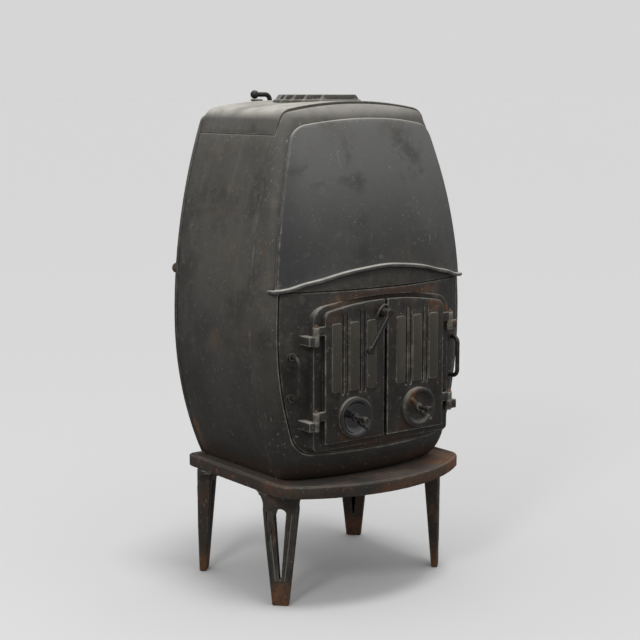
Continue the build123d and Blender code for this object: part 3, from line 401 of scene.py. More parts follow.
def dust_group():
    """Dust that settles on what faces up, thin and uneven."""
    group, given, out = new_group(
        "Settled dust", [("Vector", "NodeSocketVector", None)], [("Mask", "NodeSocketFloat")])
    geometry = group.nodes.new("ShaderNodeNewGeometry")
    parts = group.nodes.new("ShaderNodeSeparateXYZ")
    group.links.new(geometry.outputs["Normal"], parts.inputs[0])
    up = remap(group, parts.outputs["Z"], 0.25, 0.95)
    uneven = remap(group, noise(group, given.outputs["Vector"], 9.0, 7.0, 0.65, 0.6),
                   0.22, 0.68, 0.35, 1.0)
    group.links.new(math_node(group, "MULTIPLY", up, uneven), out.inputs["Mask"])
    return group


def cast_skin_group():
    """The rough skin of a sand casting, with pits, as a height."""
    group, given, out = new_group(
        "Cast skin", [("Vector", "NodeSocketVector", None), ("Coarse", "NodeSocketFloat", 1.0)],
        [("Height", "NodeSocketFloat")])
    fine = noise(group, given.outputs["Vector"], 420.0, 4.0, 0.6)
    middle = noise(group, given.outputs["Vector"], 95.0, 5.0, 0.6)
    broad = math_node(group, "MULTIPLY", noise(group, given.outputs["Vector"], 14.0, 3.0, 0.5),
                      given.outputs["Coarse"])
    pits = remap(group, noise(group, given.outputs["Vector"], 210.0, 2.0, 0.5), 0.34, 0.26)
    height = math_node(group, "ADD", math_node(group, "MULTIPLY", fine, 0.30),
                       math_node(group, "MULTIPLY", middle, 0.45))
    height = math_node(group, "ADD", height, math_node(group, "MULTIPLY", broad, 1.6))
    height = math_node(group, "SUBTRACT", height, math_node(group, "MULTIPLY", pits, 0.5))
    group.links.new(height, out.inputs["Height"])
    return group


def scratch_group():
    """Thin pale scratches in three directions, and specks."""
    group, given, out = new_group(
        "Scratches", [("Vector", "NodeSocketVector", None)], [("Mask", "NodeSocketFloat")])
    lines = None
    for turn in ((0.25, 0.10, 0.0), (-0.65, 0.45, 0.6), (0.95, -0.60, 1.2)):
        mapping = group.nodes.new("ShaderNodeMapping")
        mapping.inputs["Rotation"].default_value = turn
        group.links.new(given.outputs["Vector"], mapping.inputs["Vector"])
        drawn = stretched(group, mapping.outputs["Vector"], (210.0, 210.0, 6.0))
        line = remap(group, noise(group, drawn, 1.0, 1.0, 0.4), 0.745, 0.775)
        lines = line if lines is None else math_node(group, "MAXIMUM", lines, line)
    worn = remap(group, noise(group, given.outputs["Vector"], 7.5, 4.0, 0.7), 0.50, 0.60)
    specks = remap(group, noise(group, given.outputs["Vector"], 170.0, 2.0, 0.5), 0.705, 0.735)
    both = math_node(group, "MAXIMUM", math_node(group, "MULTIPLY", lines, worn), specks)
    group.links.new(both, out.inputs["Mask"])
    return group


GROUP_MAKERS = {"blotches": cloud_group, "runs": streak_group, "wear": wear_and_corner_shade_group,
                "stain": patch_group, "dust": dust_group, "skin": cast_skin_group,
                "scratches": scratch_group}
groups = {}


class Finish:
    """Builds one material layer by layer on Object coordinates."""

    def __init__(self, name, colour, roughness, metallic=0.0):
        self.material = bpy.data.materials.new(name)
        self.material.use_nodes = True
        self.tree = self.material.node_tree
        self.shader = self.tree.nodes["Principled BSDF"]
        self.shader.inputs["Metallic"].default_value = metallic
        place = self.tree.nodes.new("ShaderNodeTexCoord")
        self.vector = place.outputs["Object"]
        self.colour = self.constant("ShaderNodeRGB", (*colour, 1.0))
        self.rough = self.constant("ShaderNodeValue", roughness)

    def constant(self, kind, value):
        """The output of a node that holds one colour or number."""
        node = self.tree.nodes.new(kind)
        node.outputs[0].default_value = value
        return node.outputs[0]

    def shared(self, key, output="Mask", **values):
        """One shared node group with its own values; returns an output."""
        node = self.tree.nodes.new("ShaderNodeGroup")
        node.node_tree = groups[key]
        self.tree.links.new(self.vector, node.inputs["Vector"])
        for name, value in values.items():
            node.inputs[name].default_value = value
        return node.outputs[output]

    def layer(self, mask, colour, amount=1.0, roughness=None):
        """Lays a colour, and a roughness if given, over what is there."""
        if amount != 1.0:
            mask = math_node(self.tree, "MULTIPLY", mask, amount)
        mix = self.tree.nodes.new("ShaderNodeMix")
        mix.data_type = "RGBA"
        mix.clamp_factor = True
        self.tree.links.new(mask, mix.inputs["Factor"])
        self.tree.links.new(self.colour, mix.inputs["A"])
        mix.inputs["B"].default_value = (*colour, 1.0)
        self.colour = mix.outputs["Result"]
        if roughness is not None:
            roughen = self.tree.nodes.new("ShaderNodeMix")
            self.tree.links.new(mask, roughen.inputs["Factor"])
            self.tree.links.new(self.rough, roughen.inputs["A"])
            roughen.inputs["B"].default_value = roughness
            self.rough = roughen.outputs["Result"]

    def blotches(self, scale, low, high, colour, amount, roughness=None):
        """A layer of blotches, larger where the scale is smaller."""
        self.layer(self.shared("blotches", Scale=scale, Low=low, High=high),
                   colour, amount, roughness)

    def along(self, axis, low, high):
        """A mask that rises along one axis between two places."""
        parts = self.tree.nodes.new("ShaderNodeSeparateXYZ")
        self.tree.links.new(self.vector, parts.inputs[0])
        return remap(self.tree, parts.outputs[axis], low, high)

    def done(self, relief, coarse=1.0):
        """Joins the layers to the shader, adds the skin of the casting and returns the material."""
        bump = self.tree.nodes.new("ShaderNodeBump")
        bump.inputs["Strength"].default_value = relief
        bump.inputs["Distance"].default_value = SKIN_DEPTH
        self.tree.links.new(self.shared("skin", "Height", Coarse=coarse), bump.inputs["Height"])
        self.tree.links.new(bump.outputs["Normal"], self.shader.inputs["Normal"])
        self.tree.links.new(self.colour, self.shader.inputs["Base Color"])
        self.tree.links.new(self.rough, self.shader.inputs["Roughness"])
        return self.material


def iron_finish(name, colours, dust=0.5, rust=0.25, edges=0.7, tint=0.35, runs=0.3, stains=(),
                light=0.88, pads=False, crust=0.0, depth=0.018, foot=0.0):
    """Old blacked cast iron: blotches, runs, painted light high up, painted shade low down, dust,
    rust, grime and painted shade in the angles, rubbed edges, scratches and its stains.
    """
    dark = tuple(light * value for value in colours.iron)
    grey = tuple(light * value for value in colours.iron_light)
    rust_brown = tuple(colours.rust)
    iron = Finish(name, dark, 0.58)
    iron.blotches(3.2, 0.40, 0.62, grey, 0.85)
    iron.blotches(11.0, 0.47, 0.70, grey, 0.55, 0.70)
    iron.blotches(7.0, 0.54, 0.68, SMOKE_AND_SHADE, 0.45)
    iron.blotches(6.0, 0.50, 0.72, BROWN_TINT, tint)
    # Painted light: the iron turns paler towards the top, as if lit from above
    iron.layer(iron.along("Z", *PAINTED_TOP_LIGHT_BAND), PAINTED_TOP_LIGHT_GREY, 0.55 * light)
    iron.blotches(8.5, 0.49, 0.66, SMOKE_AND_SHADE, 0.45)
    iron.blotches(21.0, 0.54, 0.66, WARM_GREY, 0.35)
    iron.blotches(62.0, 0.55, 0.66, RUN_GREY, 0.34)
    iron.layer(iron.shared("runs"), RUN_GREY, runs)
    # Painted shade: darker towards the bottom, where the body faces the floor
    iron.layer(iron.along("Z", *PAINTED_LOW_SHADE_BAND), SMOKE_AND_SHADE, 0.72)
    if foot > 0.0:
        iron.layer(iron.along("Z", *FOOT_BAND), RED_BROWN, foot, 0.85)
    if crust > 0.0:
        iron.blotches(5.0, 0.34, 0.50, CRUST, crust, 0.85)
        iron.blotches(9.0, 0.50, 0.58, SOOT_AND_SHADE, 0.6 * crust)
        iron.blotches(16.0, 0.52, 0.64, rust_brown, crust, 0.9)
        iron.blotches(40.0, 0.58, 0.68, tuple(colours.fresh_rust), crust)
    if pads:
        iron.layer(iron.along("Y", *PAD_BAND), PAD_GREY, 0.75, 0.5)
        iron.layer(iron.shared("runs", Low=0.42, High=0.66), PAD_BROWN, 0.5)
        # Soot and painted shade: the groove floors behind the pads are darkened
        iron.layer(iron.along("Y", *GROOVE_SOOT_AND_SHADE_BAND), SOOT_AND_SHADE, 0.85)
    iron.blotches(27.0, 0.60, 0.72, rust_brown, rust, 0.85)
    # Grime and painted shade in the angles and grooves
    iron.layer(iron.shared("wear", "Corners", Depth=depth), CORNER_GRIME_AND_SHADE, 0.8, 0.85)
    iron.layer(iron.shared("dust"), tuple(colours.dust), dust, 0.88)
    for place, size, colour, amount in stains:
        iron.layer(iron.shared("stain", Place=place, Size=size), colour, amount, 0.86)
    iron.layer(iron.shared("wear", "Edges"), WORN_GREY, edges, 0.45)
    iron.layer(iron.shared("scratches"), SCRATCH_PALE, 0.35, 0.6)
    return iron.done(0.35)


def panel_finish():
    """Blue-grey iron of the upper panel, with painted light towards its top and painted shade along
    its left edge.
    """
    panel = Finish("Blue-grey panel iron", PANEL_IRON, 0.52)
    # Painted light: the panel turns paler towards its top
    panel.layer(panel.along("Z", *PANEL_TOP_LIGHT_BAND), PANEL_PAINTED_LIGHT, 0.85)
    panel.blotches(3.6, 0.42, 0.68, PANEL_CLOUD, 0.5)
    # Painted shade along the panel's left edge
    panel.layer(panel.along("X", *PANEL_SIDE_SHADE_BAND), PANEL_SHADE, 0.55)
    panel.blotches(8.0, 0.52, 0.66, PANEL_DARK, 0.55, 0.66)
    panel.blotches(5.0, 0.55, 0.70, PANEL_BROWN, 0.45)
    panel.layer(panel.shared("runs", Low=0.52, High=0.74), RUN_GREY, 0.22)
    # Grime and painted shade in the angles
    panel.layer(panel.shared("wear", "Corners"), CORNER_GRIME_AND_SHADE, 0.45, 0.8)
    panel.blotches(58.0, 0.57, 0.69, PANEL_GRAIN, 0.28)
    panel.layer(panel.shared("dust"), PANEL_DUST, 0.85, 0.85)
    panel.blotches(36.0, 0.64, 0.72, PANEL_SPECK, 0.4)
    panel.layer(panel.shared("wear", "Edges"), LEDGE_GREY, 0.7, 0.42)
    panel.layer(panel.shared("scratches"), SCRATCH_PALE, 0.35, 0.6)
    return panel.done(0.30)


def gloss_finish():
    """Black enamel of the left regulator, with a little brown in it."""
    gloss = Finish("Black gloss", GLOSS_BLACK, 0.16)
    gloss.blotches(30.0, 0.55, 0.70, GLOSS_BROWN, 0.5, 0.4)
    gloss.layer(gloss.shared("wear", "Edges"), GLOSS_WORN, 0.15, 0.25)
    gloss.layer(gloss.shared("dust"), GLOSS_WORN, 0.15, 0.6)
    gloss.shader.inputs["Coat Weight"].default_value = 1.0
    gloss.shader.inputs["Coat Roughness"].default_value = 0.07
    return gloss.done(0.04, coarse=0.2)


def worn_steel(name, dust=0.4, mottle=0.6):
    """Black steel bar, polished bare by hands on its corners."""
    steel = Finish(name, STEEL_BLACK, 0.42, metallic=0.35)
    steel.blotches(40.0, 0.48, 0.66, STEEL_BROWN, mottle, 0.7)
    steel.layer(steel.shared("dust"), STEEL_DUST, dust, 0.75)
    steel.layer(steel.shared("wear", "Edges"), STEEL_BARE, 0.6, 0.35)
    return steel.done(0.12, coarse=0.1)


def fastener_finish(colours):
    """Brown, rusty nuts and bolts."""
    rusty = Finish("Rusty fasteners", FASTENER_RUST, 0.75)
    rusty.blotches(60.0, 0.42, 0.62, tuple(colours.fresh_rust), 0.6, 0.9)
    rusty.layer(rusty.shared("wear", "Edges"), FASTENER_WORN, 0.6, 0.5)
    return rusty.done(0.3, coarse=0.1)


# ------------------------------------------------------------------ modelling helpers
def deselect():
    """Leaves object mode with nothing selected."""
    if bpy.context.object is not None and bpy.context.object.mode != "OBJECT":
        bpy.ops.object.mode_set(mode="OBJECT")
    bpy.ops.object.select_all(action="DESELECT")


def activate(piece):
    """Selects one object alone and makes it active."""
    deselect()
    piece.select_set(True)
    bpy.context.view_layer.objects.active = piece


def settle(piece, name, finish, body, nodes=()):
    """Puts the piece's place into its mesh, names it, gives it its finish, hangs it on its body and
    hides the CAD nodes it stands for.
    """
    activate(piece)
    bpy.ops.object.transform_apply(location=True, rotation=True, scale=True)
    piece.name = name
    piece.data.name = name
    piece.data.materials.clear()
    piece.data.materials.append(finish)
    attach(piece, body)
    if nodes:
        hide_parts(*nodes)
    return piece


def apply_all(piece):
    """Applies the piece's modifiers in order."""
    activate(piece)
    for modifier in list(piece.modifiers):
        bpy.ops.object.modifier_apply(modifier=modifier.name)


def node_body(node):
    """The body that a CAD node rides on."""
    for body, members in frame["record"]["behaviour"]["bodies"].items():
        if node in members:
            return body
    raise RuntimeError(f"no body holds {node}")


def joint_place(joint):
    """The place that a joint turns about."""
    for entry in frame["record"]["behaviour"]["joints"]:
        if entry["name"] == joint:
            return entry["pos_m"]
    raise RuntimeError(f"no joint is called {joint}")


def rounded(node, finish):
    """A copy of a casting with its corners rounded as the mould left them."""
    width, segments = ROUNDED_NODES[node]
    activate(frame["nodes"][node])
    bpy.ops.object.duplicate()
    piece = bpy.context.object
    bpy.ops.mesh.customdata_custom_splitnormals_clear()
    bpy.ops.object.mode_set(mode="EDIT")
    bpy.ops.mesh.select_all(action="SELECT")
    bpy.ops.mesh.remove_doubles(threshold=COARSE_MERGE.get(node, FINE_MERGE))
    bpy.ops.mesh.dissolve_limited(angle_limit=FLAT_ANGLE)
    bpy.ops.object.mode_set(mode="OBJECT")
    bevel = piece.modifiers.new("Rounded corners", "BEVEL")
    bevel.width = width
    bevel.segments = segments
    bevel.limit_method = "ANGLE"
    bevel.angle_limit = CORNER_ANGLE
    bevel.use_clamp_overlap = False
    apply_all(piece)
    bpy.ops.object.shade_smooth_by_angle(angle=SMOOTH_ANGLE)
    return settle(piece, f"{node}_cast", finish, node_body(node), (node,))


def ring_of(profile, centre, axis, name):
    """A turned shape: a profile of (radius, depth) pairs spun round an axis through a centre."""
    deselect()
    bpy.ops.mesh.primitive_circle_add(vertices=len(profile), radius=0.01, fill_type="NOTHING")
    piece = bpy.context.object
    piece.name = name
    for vertex, (radius, depth) in zip(piece.data.vertices, profile):
        if axis == "Y":
            vertex.co = Vector((centre[0] + radius, depth, centre[2]))
        else:
            vertex.co = Vector((centre[0] + radius, centre[1], depth))
    bpy.ops.object.mode_set(mode="EDIT")
    bpy.ops.mesh.select_all(action="SELECT")
    turn = (0.0, 1.0, 0.0) if axis == "Y" else (0.0, 0.0, 1.0)
    bpy.ops.mesh.spin(steps=SPIN_STEPS, angle=2.0 * math.pi, center=centre, axis=turn)
    bpy.ops.mesh.select_all(action="SELECT")
    bpy.ops.mesh.remove_doubles(threshold=SEAM_MERGE)
    bpy.ops.mesh.normals_make_consistent(inside=False)
    bpy.ops.object.mode_set(mode="OBJECT")
    return piece


def rounded_box(box, corner):
    """Rounds every edge of a simple box."""
    bpy.ops.object.mode_set(mode="EDIT")
    bpy.ops.mesh.select_all(action="SELECT")
    bpy.ops.mesh.bevel(offset=corner, segments=3, affect="EDGES")
    bpy.ops.object.mode_set(mode="OBJECT")
    return box


def shaped_bar(size, place, turn):
    """A short cast bar with rounded corners."""
    deselect()
    bpy.ops.mesh.primitive_cube_add(size=1.0, location=place, rotation=turn)
    bar = bpy.context.object
    bar.scale = size
    bpy.ops.object.transform_apply(location=True, rotation=True, scale=True)
    return rounded_box(bar, BAR_CORNER)


def joined(parts):
    """Several meshes as one piece."""
    activate(parts[0])
    for part in parts[1:]:
        part.select_set(True)
    bpy.ops.object.join()
    return bpy.context.object


def regulator(joint):
    """A dished cap over the air inlet, with the bars across it and the pointer on one of them."""
    across, _, height = joint_place(joint)
    parts = [ring_of(REGULATOR_PROFILE, (across, 0.0, height), "Y", "dish")]
    for size, reach, depth in REGULATOR_BARS:
        place = (across + reach * math.cos(BAR_SLOPE), depth, height - reach * math.sin(BAR_SLOPE))
        parts.append(shaped_bar(size, place, (0.0, BAR_SLOPE, 0.0)))
    piece = joined(parts)
    bpy.ops.object.shade_smooth_by_angle(angle=REGULATOR_SMOOTH)
    return piece


def hooked_rod(points, thickness, name):
    """A bent rod through a few points, round in section."""
    deselect()
    bpy.ops.curve.primitive_nurbs_path_add()
    rod = bpy.context.object
    rod.name = name
    spline = rod.data.splines[0]
    spline.points.add(len(points) - len(spline.points))
    for point, place in zip(spline.points, points):
        point.co = (*place, 1.0)
    spline.order_u = 3
    spline.use_endpoint_u = True
    rod.data.bevel_depth = thickness
    rod.data.bevel_resolution = 3
    rod.data.use_fill_caps = True
    bpy.ops.object.convert(target="MESH")
    bpy.ops.object.shade_smooth_by_angle(angle=ROD_SMOOTH)
    return bpy.context.object


def sloped_slat(reach, deep):
    """One slat, its top narrower than its foot and its ends sloping in."""
    deselect()
    bpy.ops.mesh.primitive_cube_add(size=1.0, location=(0.0, deep, SLAT_MIDDLE))
    slat = bpy.context.object
    slat.scale = (2.0 * reach, SLAT_WIDTH, SLAT_HEIGHT)
    bpy.ops.object.transform_apply(location=True, rotation=False, scale=True)
    for vertex in slat.data.vertices:
        if vertex.co.z > SLAT_MIDDLE:
            vertex.co.x -= math.copysign(SLAT_SLOPE, vertex.co.x)
            vertex.co.y = deep + SLAT_TAPER * (vertex.co.y - deep)
    return rounded_box(slat, SLAT_CORNER)


def grille_cover(finish):
    """Slats with sloping ends on a low ring, two ribs under them and the spigot they sit in."""
    middle = (0.0, GRILLE_DEEP, 0.0)
    parts = [ring_of(GRILLE_RIM, middle, "Z", "rim")]
    for number in range(SLATS):
        across = (number - (SLATS - 1) / 2.0) * SLAT_PITCH
        reach = math.sqrt(SLAT_RING ** 2 - (abs(across) + SLAT_MARGIN) ** 2)
        parts.append(sloped_slat(reach, GRILLE_DEEP + across))
    for side in (-1.0, 1.0):
        place = (side * RIB_ACROSS, GRILLE_DEEP, RIB_MIDDLE)
        parts.append(shaped_bar(RIB_SIZE, place, (0.0, 0.0, 0.0)))
    parts.append(ring_of(GRILLE_SPIGOT, middle, "Z", "spigot"))
    piece = joined(parts)
    bpy.ops.object.shade_smooth_by_angle(angle=GRILLE_SMOOTH)
    return settle(piece, "warm_air_grille", finish, "stove",
                  ("hot_air_grille",))


# ------------------------------------------------------------------ operators
class STOVE_OT_body(bpy.types.Operator):
    """Shell of the stove: sides, front frame, back and flue collar"""

    bl_idname = "stove.body"
    bl_label = "Body castings"
    bl_options = {"REGISTER", "UNDO"}

    def execute(self, context):
        colours = context.scene.stove_colours
        left = iron_finish(
            "Side iron left", colours, dust=0.35, rust=0.20, runs=0.42, foot=0.45, stains=(
                ((-0.240, -0.135, 0.272), (0.05, 0.055, 0.045), RED_BROWN, 0.8),
                ((-0.215, 0.165, 0.290), (0.035, 0.022, 0.075), ORANGE, 0.8),
                ((-0.252, 0.030, 0.520), (0.03, 0.022, 0.030), ORANGE, 0.45),
                ((-0.245, -0.080, 0.940), (0.03, 0.040, 0.020), RED_BROWN, 0.5)))
        right = iron_finish(
            "Side iron right", colours, dust=0.35, rust=0.30, runs=0.42, foot=0.45, stains=(
                ((0.240, -0.135, 0.280), (0.05, 0.055, 0.045), RED_BROWN, 0.8),
                ((0.252, 0.060, 0.420), (0.03, 0.050, 0.080), ORANGE, 0.4)))
        # The front frame's long corner reach paints the shade of a groove beside the upper panel
        front = iron_finish(
            "Front frame iron", colours, dust=0.55, rust=0.30, runs=0.30, depth=0.045, foot=0.7,
            stains=(
                ((-0.190, -0.190, 0.275), (0.07, 0.05, 0.035), RED_BROWN, 0.75),
                ((0.120, -0.200, 0.262), (0.13, 0.05, 0.028), ORANGE, 0.55),
                ((-0.120, -0.200, 0.975), (0.10, 0.05, 0.02), CHALK, 0.15)))
        back = iron_finish("Back iron", colours, dust=0.4, rust=0.55, runs=0.5, stains=(
            ((0.050, 0.185, 0.300), (0.14, 0.05, 0.05), ORANGE, 0.5),
            ((0.0, 0.185, 0.820), (0.09, 0.05, 0.10), RED_BROWN, 0.6)))
        for node, finish in (("side_panel_left", left), ("side_panel_right", right),
                             ("front_frame", front), ("back_panel", back), ("flue_collar", back)):
            rounded(node, finish)
        return {"FINISHED"}


class STOVE_OT_top(bpy.types.Operator):
    """Top plate with its warm-air grille"""

    bl_idname = "stove.top"
    bl_label = "Top plate and grille"
    bl_options = {"REGISTER", "UNDO"}

    def execute(self, context):
        colours = context.scene.stove_colours
        top = iron_finish("Dusty top iron", colours, dust=1.0, rust=0.25, runs=0.0, edges=0.5,
                          stains=(((0.10, 0.10, 0.99), (0.08, 0.06, 0.03), RED_BROWN, 0.35),))
        grille = iron_finish("Grille iron", colours, dust=0.35, rust=0.45, runs=0.0, edges=0.55)
        rounded("top_plate", top)
        grille_cover(grille)
        return {"FINISHED"}


class STOVE_OT_upper_panel(bpy.types.Operator):
    """Raised upper front panel with its eyebrow ledge"""

    bl_idname = "stove.upper_panel"
    bl_label = "Upper front panel"
    bl_options = {"REGISTER", "UNDO"}

    def execute(self, context):
        rounded("upper_panel", panel_finish())
        return {"FINISHED"}


class STOVE_OT_door_plate(bpy.types.Operator):
    """Lift-out lower front plate"""

    bl_idname = "stove.door_plate"
    bl_label = "Lower front plate"
    bl_options = {"REGISTER", "UNDO"}

    def execute(self, context):
        colours = context.scene.stove_colours
        plate = iron_finish(
            "Door plate iron", colours, dust=0.5, rust=0.35, runs=0.25, light=0.42, stains=(
                ((0.0, -0.190, 0.622), (0.16, 0.03, 0.022), RED_BROWN, 0.75),
                ((0.120, -0.190, 0.612), (0.06, 0.03, 0.012), ORANGE, 0.5),
                ((-0.110, -0.190, 0.606), (0.06, 0.03, 0.014), ORANGE, 0.45),
                # Painted shade beside the left door's edge
                ((-0.165, -0.190, 0.470), (0.010, 0.03, 0.130), SOOT_AND_SHADE, 0.6),
                ((0.175, -0.190, 0.560), (0.025, 0.03, 0.040), ORANGE, 0.7),
                # Painted shade round the left lift handle
                ((-0.204, -0.160, 0.465), (0.034, 0.06, 0.060), SOOT_AND_SHADE, 0.85),
                ((0.0, -0.190, 0.312), (0.16, 0.03, 0.022), RED_BROWN, 0.5)))
        rounded("lower_front_plate", plate)
        return {"FINISHED"}


class STOVE_OT_doors(bpy.types.Operator):
    """Two doors with their pads and air inlets"""

    bl_idname = "stove.doors"
    bl_label = "Doors"
    bl_options = {"REGISTER", "UNDO"}

    def execute(self, context):
        for side, stains in (
                ("left", (((-0.08, -0.195, 0.345), (0.06, 0.03, 0.025), RED_BROWN, 0.6),
                          ((-0.13, -0.195, 0.585), (0.04, 0.03, 0.03), RED_BROWN, 0.5))),
                ("right", (((0.08, -0.195, 0.345), (0.07, 0.03, 0.022), RED_BROWN, 0.7),
                           ((0.130, -0.195, 0.585), (0.030, 0.03, 0.022), ORANGE, 0.55)))):
            finish = iron_finish(
                f"Door iron {side}", context.scene.stove_colours, dust=0.35, rust=0.34, runs=0.2,
                light=0.38, edges=1.0, tint=0.55, stains=stains, pads=True)
            rounded(f"door_{side}", finish)
        return {"FINISHED"}


class STOVE_OT_base(bpy.types.Operator):
    """Base plate and its four pierced legs"""

    bl_idname = "stove.base"
    bl_label = "Base and legs"
    bl_options = {"REGISTER", "UNDO"}

    def execute(self, context):
        colours = context.scene.stove_colours
        base = iron_finish(
            "Rusty base iron", colours, dust=0.07, rust=0.85, runs=0.2, light=0.6, tint=0.9,
            crust=0.75, stains=(
                ((0.19, -0.17, 0.245), (0.09, 0.09, 0.04), ORANGE, 0.95),
                ((0.05, -0.24, 0.235), (0.14, 0.05, 0.020), ORANGE, 0.35),
                ((-0.21, -0.12, 0.245), (0.05, 0.05, 0.025), RED_BROWN, 0.8),
                ((-0.10, -0.235, 0.240), (0.10, 0.05, 0.016), SOOT_AND_SHADE, 0.5)))
        rounded("base_plate", base)
        for corner in ("front_left", "front_right", "rear_left", "rear_right"):
            low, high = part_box(f"leg_{corner}")
            outer = low[0] if abs(low[0]) > abs(high[0]) else high[0]
            deep = 0.5 * (low[1] + high[1])
            leg = iron_finish(
                f"Leg iron {corner}", colours, dust=0.1, rust=0.7, runs=0.3, tint=0.8, crust=0.35,
                stains=(((0.92 * outer, deep, 0.01), (0.07, 0.07, 0.055), ORANGE, 0.75),
                        ((outer, deep, 0.17), (0.05, 0.06, 0.03), RED_BROWN, 0.6)))
            rounded(f"leg_{corner}", leg)
        return {"FINISHED"}


class STOVE_OT_regulators(bpy.types.Operator):
    """Round air regulators with their screw knobs"""

    bl_idname = "stove.regulators"
    bl_label = "Air regulators"
    bl_options = {"REGISTER", "UNDO"}

    def execute(self, context):
        rusty = iron_finish(
            "Rusty regulator iron", context.scene.stove_colours, dust=0.3, rust=0.8, runs=0.0,
            light=0.5, stains=(((0.062, -0.205, 0.400), (0.022, 0.03, 0.022), ORANGE, 0.9),))
        settle(regulator("air_left_turn"), "regulator_left", gloss_finish(), "air_left",
               ("air_disc_left",))
        settle(regulator("air_right_turn"), "regulator_right", rusty, "air_right",
               ("air_disc_right",))
        for side in ("left", "right"):
            rounded(f"air_knob_{side}", worn_steel(f"Knob steel {side}"))
        return {"FINISHED"}


class STOVE_OT_hardware(bpy.types.Operator):
    """Handles, latch, hinge pins, levers, nuts and bolts"""

    bl_idname = "stove.hardware"
    bl_label = "Handles and fasteners"
    bl_options = {"REGISTER", "UNDO"}

    def execute(self, context):
        steel = worn_steel("Worn black steel")
        black = worn_steel("Handle black", dust=0.12, mottle=0.3)
        for node, finish in (("lift_handle_left", black), ("lift_handle_right", black),
                             ("damper_lever", steel)):
            frame["nodes"][node].data.materials.clear()
            frame["nodes"][node].data.materials.append(finish)
        self.ease_shaft(rounded("latch_lever", steel))
        keeper = hooked_rod(KEEPER_ROUTE, KEEPER_RADIUS, "keeper")
        settle(keeper, "latch_keeper", steel, "door_left")
        rusty = fastener_finish(context.scene.stove_colours)
        for node in ("hinge_pins", "cap_nuts", "flue_bolts", "leg_bolts", "frame_bolts",
                     "tie_studs", "latch_tongue"):
            rounded(node, rusty)
        return {"FINISHED"}

    def ease_shaft(self, latch):
        """Thins the latch's shaft a little, so that it turns free in the door."""
        across, _, height = joint_place("latch_turn")
        for vertex in latch.data.vertices:
            away = Vector((vertex.co.x - across, vertex.co.z - height))
            if away.length < SHAFT_REACH and vertex.co.y > SHAFT_FRONT:
                vertex.co.x = across + SHAFT_EASE * away.x
                vertex.co.z = height + SHAFT_EASE * away.y


class STOVE_OT_inside(bpy.types.Operator):
    """Grate, ash pan, liners, smoke shelf and damper blade"""

    bl_idname = "stove.inside"
    bl_label = "Fire chamber"
    bl_options = {"REGISTER", "UNDO"}

    def execute(self, context):
        sooty = iron_finish("Sooty iron", context.scene.stove_colours, dust=0.25, rust=0.7,
                            runs=0.1, light=0.5, tint=0.8)
        for node in ("grate", "ash_pan", "side_liner_left", "side_liner_right", "rear_liner",
                     "smoke_shelf", "damper_blade"):
            rounded(node, sooty)
        return {"FINISHED"}


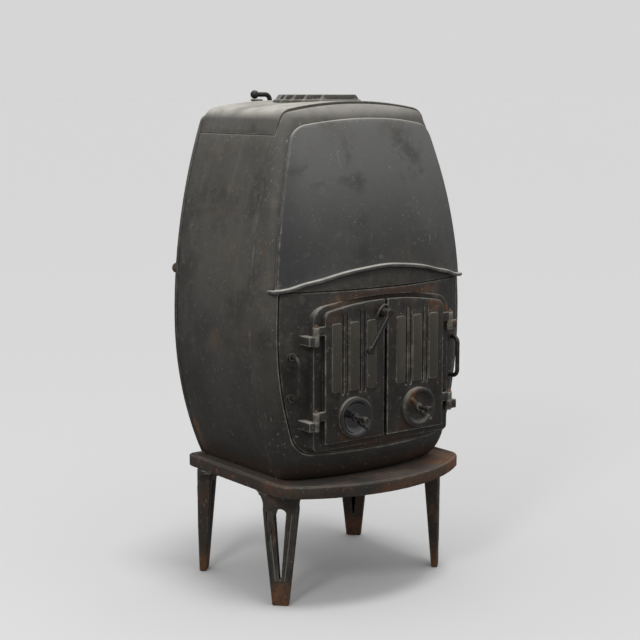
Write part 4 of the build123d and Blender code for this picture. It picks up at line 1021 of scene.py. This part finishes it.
class STOVE_OT_stage(bpy.types.Operator):
    """Pale floor, studio light and camera"""

    bl_idname = "stove.stage"
    bl_label = "Stage"

    def execute(self, context):
        settings = context.scene.stove_stage
        deselect()
        bpy.ops.mesh.primitive_plane_add(size=FLOOR_SIZE, location=(0.0, 0.0, 0.0))
        floor = context.object
        floor.name = "studio_floor"
        paint = bpy.data.materials.new("Pale floor")
        paint.use_nodes = True
        tree = paint.node_tree
        tree.nodes.remove(tree.nodes["Principled BSDF"])
        path = tree.nodes.new("ShaderNodeLightPath")
        mix = tree.nodes.new("ShaderNodeMixShader")
        for number, value in enumerate((FLOOR_BOUNCE, settings.floor_shade), start=1):
            matt = tree.nodes.new("ShaderNodeBsdfDiffuse")
            matt.inputs["Color"].default_value = (value, value, value, 1.0)
            tree.links.new(matt.outputs[0], mix.inputs[number])
        tree.links.new(path.outputs["Is Camera Ray"], mix.inputs["Fac"])
        tree.links.new(mix.outputs[0], tree.nodes["Material Output"].inputs["Surface"])
        floor.data.materials.append(paint)
        bpy.ops.object.light_add(type="SUN", rotation=SUN_TURN)
        sun = context.object
        sun.name = "overhead_softbox"
        sun.data.energy = SUN_STRENGTH
        sun.data.angle = SUN_WIDTH
        bpy.ops.object.light_add(type="AREA", location=SOFTBOX_PLACE)
        softbox = context.object
        softbox.name = "side_softbox"
        softbox.data.energy = SOFTBOX_POWER
        softbox.data.size = SOFTBOX_SIZE
        beam = Vector(SOFTBOX_PLACE) - Vector(SOFTBOX_AIM)
        softbox.rotation_euler = beam.to_track_quat("Z", "Y").to_euler()
        bpy.ops.object.camera_add(location=settings.camera_place, rotation=(
            math.pi / 2.0 - settings.pitch, 0.0, -settings.azimuth))
        camera = context.object
        camera.name = "stove_camera"
        camera.data.lens = settings.lens
        camera.data.clip_end = FAR_CLIP
        context.scene.camera = camera
        self.light_sky(context)
        context.scene.view_settings.view_transform = "Standard"
        return {"FINISHED"}

    def light_sky(self, context):
        """A pale even backdrop that the camera sees a little brighter than it shines."""
        sky = bpy.data.worlds.new("Studio air")
        context.scene.world = sky
        sky.use_nodes = True
        tree = sky.node_tree
        seen = tree.nodes["Background"]
        seen.inputs["Color"].default_value = (BACKDROP, BACKDROP, BACKDROP, 1.0)
        shining = tree.nodes.new("ShaderNodeBackground")
        way = tree.nodes.new("ShaderNodeTexCoord")
        parts = tree.nodes.new("ShaderNodeSeparateXYZ")
        tree.links.new(way.outputs["Generated"], parts.inputs[0])
        strength = remap(tree, parts.outputs["Z"], *SKY_HEIGHTS, *SKY_LIGHT)
        tree.links.new(strength, shining.inputs["Strength"])
        path = tree.nodes.new("ShaderNodeLightPath")
        mix = tree.nodes.new("ShaderNodeMixShader")
        tree.links.new(path.outputs["Is Camera Ray"], mix.inputs["Fac"])
        tree.links.new(shining.outputs[0], mix.inputs[1])
        tree.links.new(seen.outputs[0], mix.inputs[2])
        tree.links.new(mix.outputs[0], tree.nodes["World Output"].inputs["Surface"])


class STOVE_PT_panel(bpy.types.Panel):
    """The stove's pieces and settings"""

    bl_idname = "STOVE_PT_panel"
    bl_label = "Rusty stove"
    bl_space_type = "VIEW_3D"
    bl_region_type = "UI"
    bl_category = "Stove"

    def draw(self, context):
        for settings in (context.scene.stove_colours, context.scene.stove_stage):
            for name in settings.__annotations__:
                self.layout.prop(settings, name)
        for operator in OPERATORS:
            self.layout.operator(operator.bl_idname)


OPERATORS = (STOVE_OT_stage, STOVE_OT_body, STOVE_OT_top, STOVE_OT_upper_panel, STOVE_OT_door_plate,
             STOVE_OT_doors, STOVE_OT_base, STOVE_OT_regulators, STOVE_OT_hardware, STOVE_OT_inside)
CLASSES = (StoveColours, StoveStage, *OPERATORS, STOVE_PT_panel)


def register():
    """Makes the classes and settings known to Blender."""
    for entry in CLASSES:
        bpy.utils.register_class(entry)
    bpy.types.Scene.stove_colours = bpy.props.PointerProperty(type=StoveColours)
    bpy.types.Scene.stove_stage = bpy.props.PointerProperty(type=StoveStage)


def unregister():
    """Takes them away again."""
    del bpy.types.Scene.stove_stage
    del bpy.types.Scene.stove_colours
    for entry in reversed(CLASSES):
        bpy.utils.unregister_class(entry)


def main():
    """Builds everything around the frame."""
    register()
    for key, maker in GROUP_MAKERS.items():
        groups[key] = maker()
    bpy.ops.stove.stage()
    bpy.ops.stove.body()
    bpy.ops.stove.top()
    bpy.ops.stove.upper_panel()
    bpy.ops.stove.door_plate()
    bpy.ops.stove.doors()
    bpy.ops.stove.base()
    bpy.ops.stove.regulators()
    bpy.ops.stove.hardware()
    bpy.ops.stove.inside()


if __name__ == "__main__":
    main()
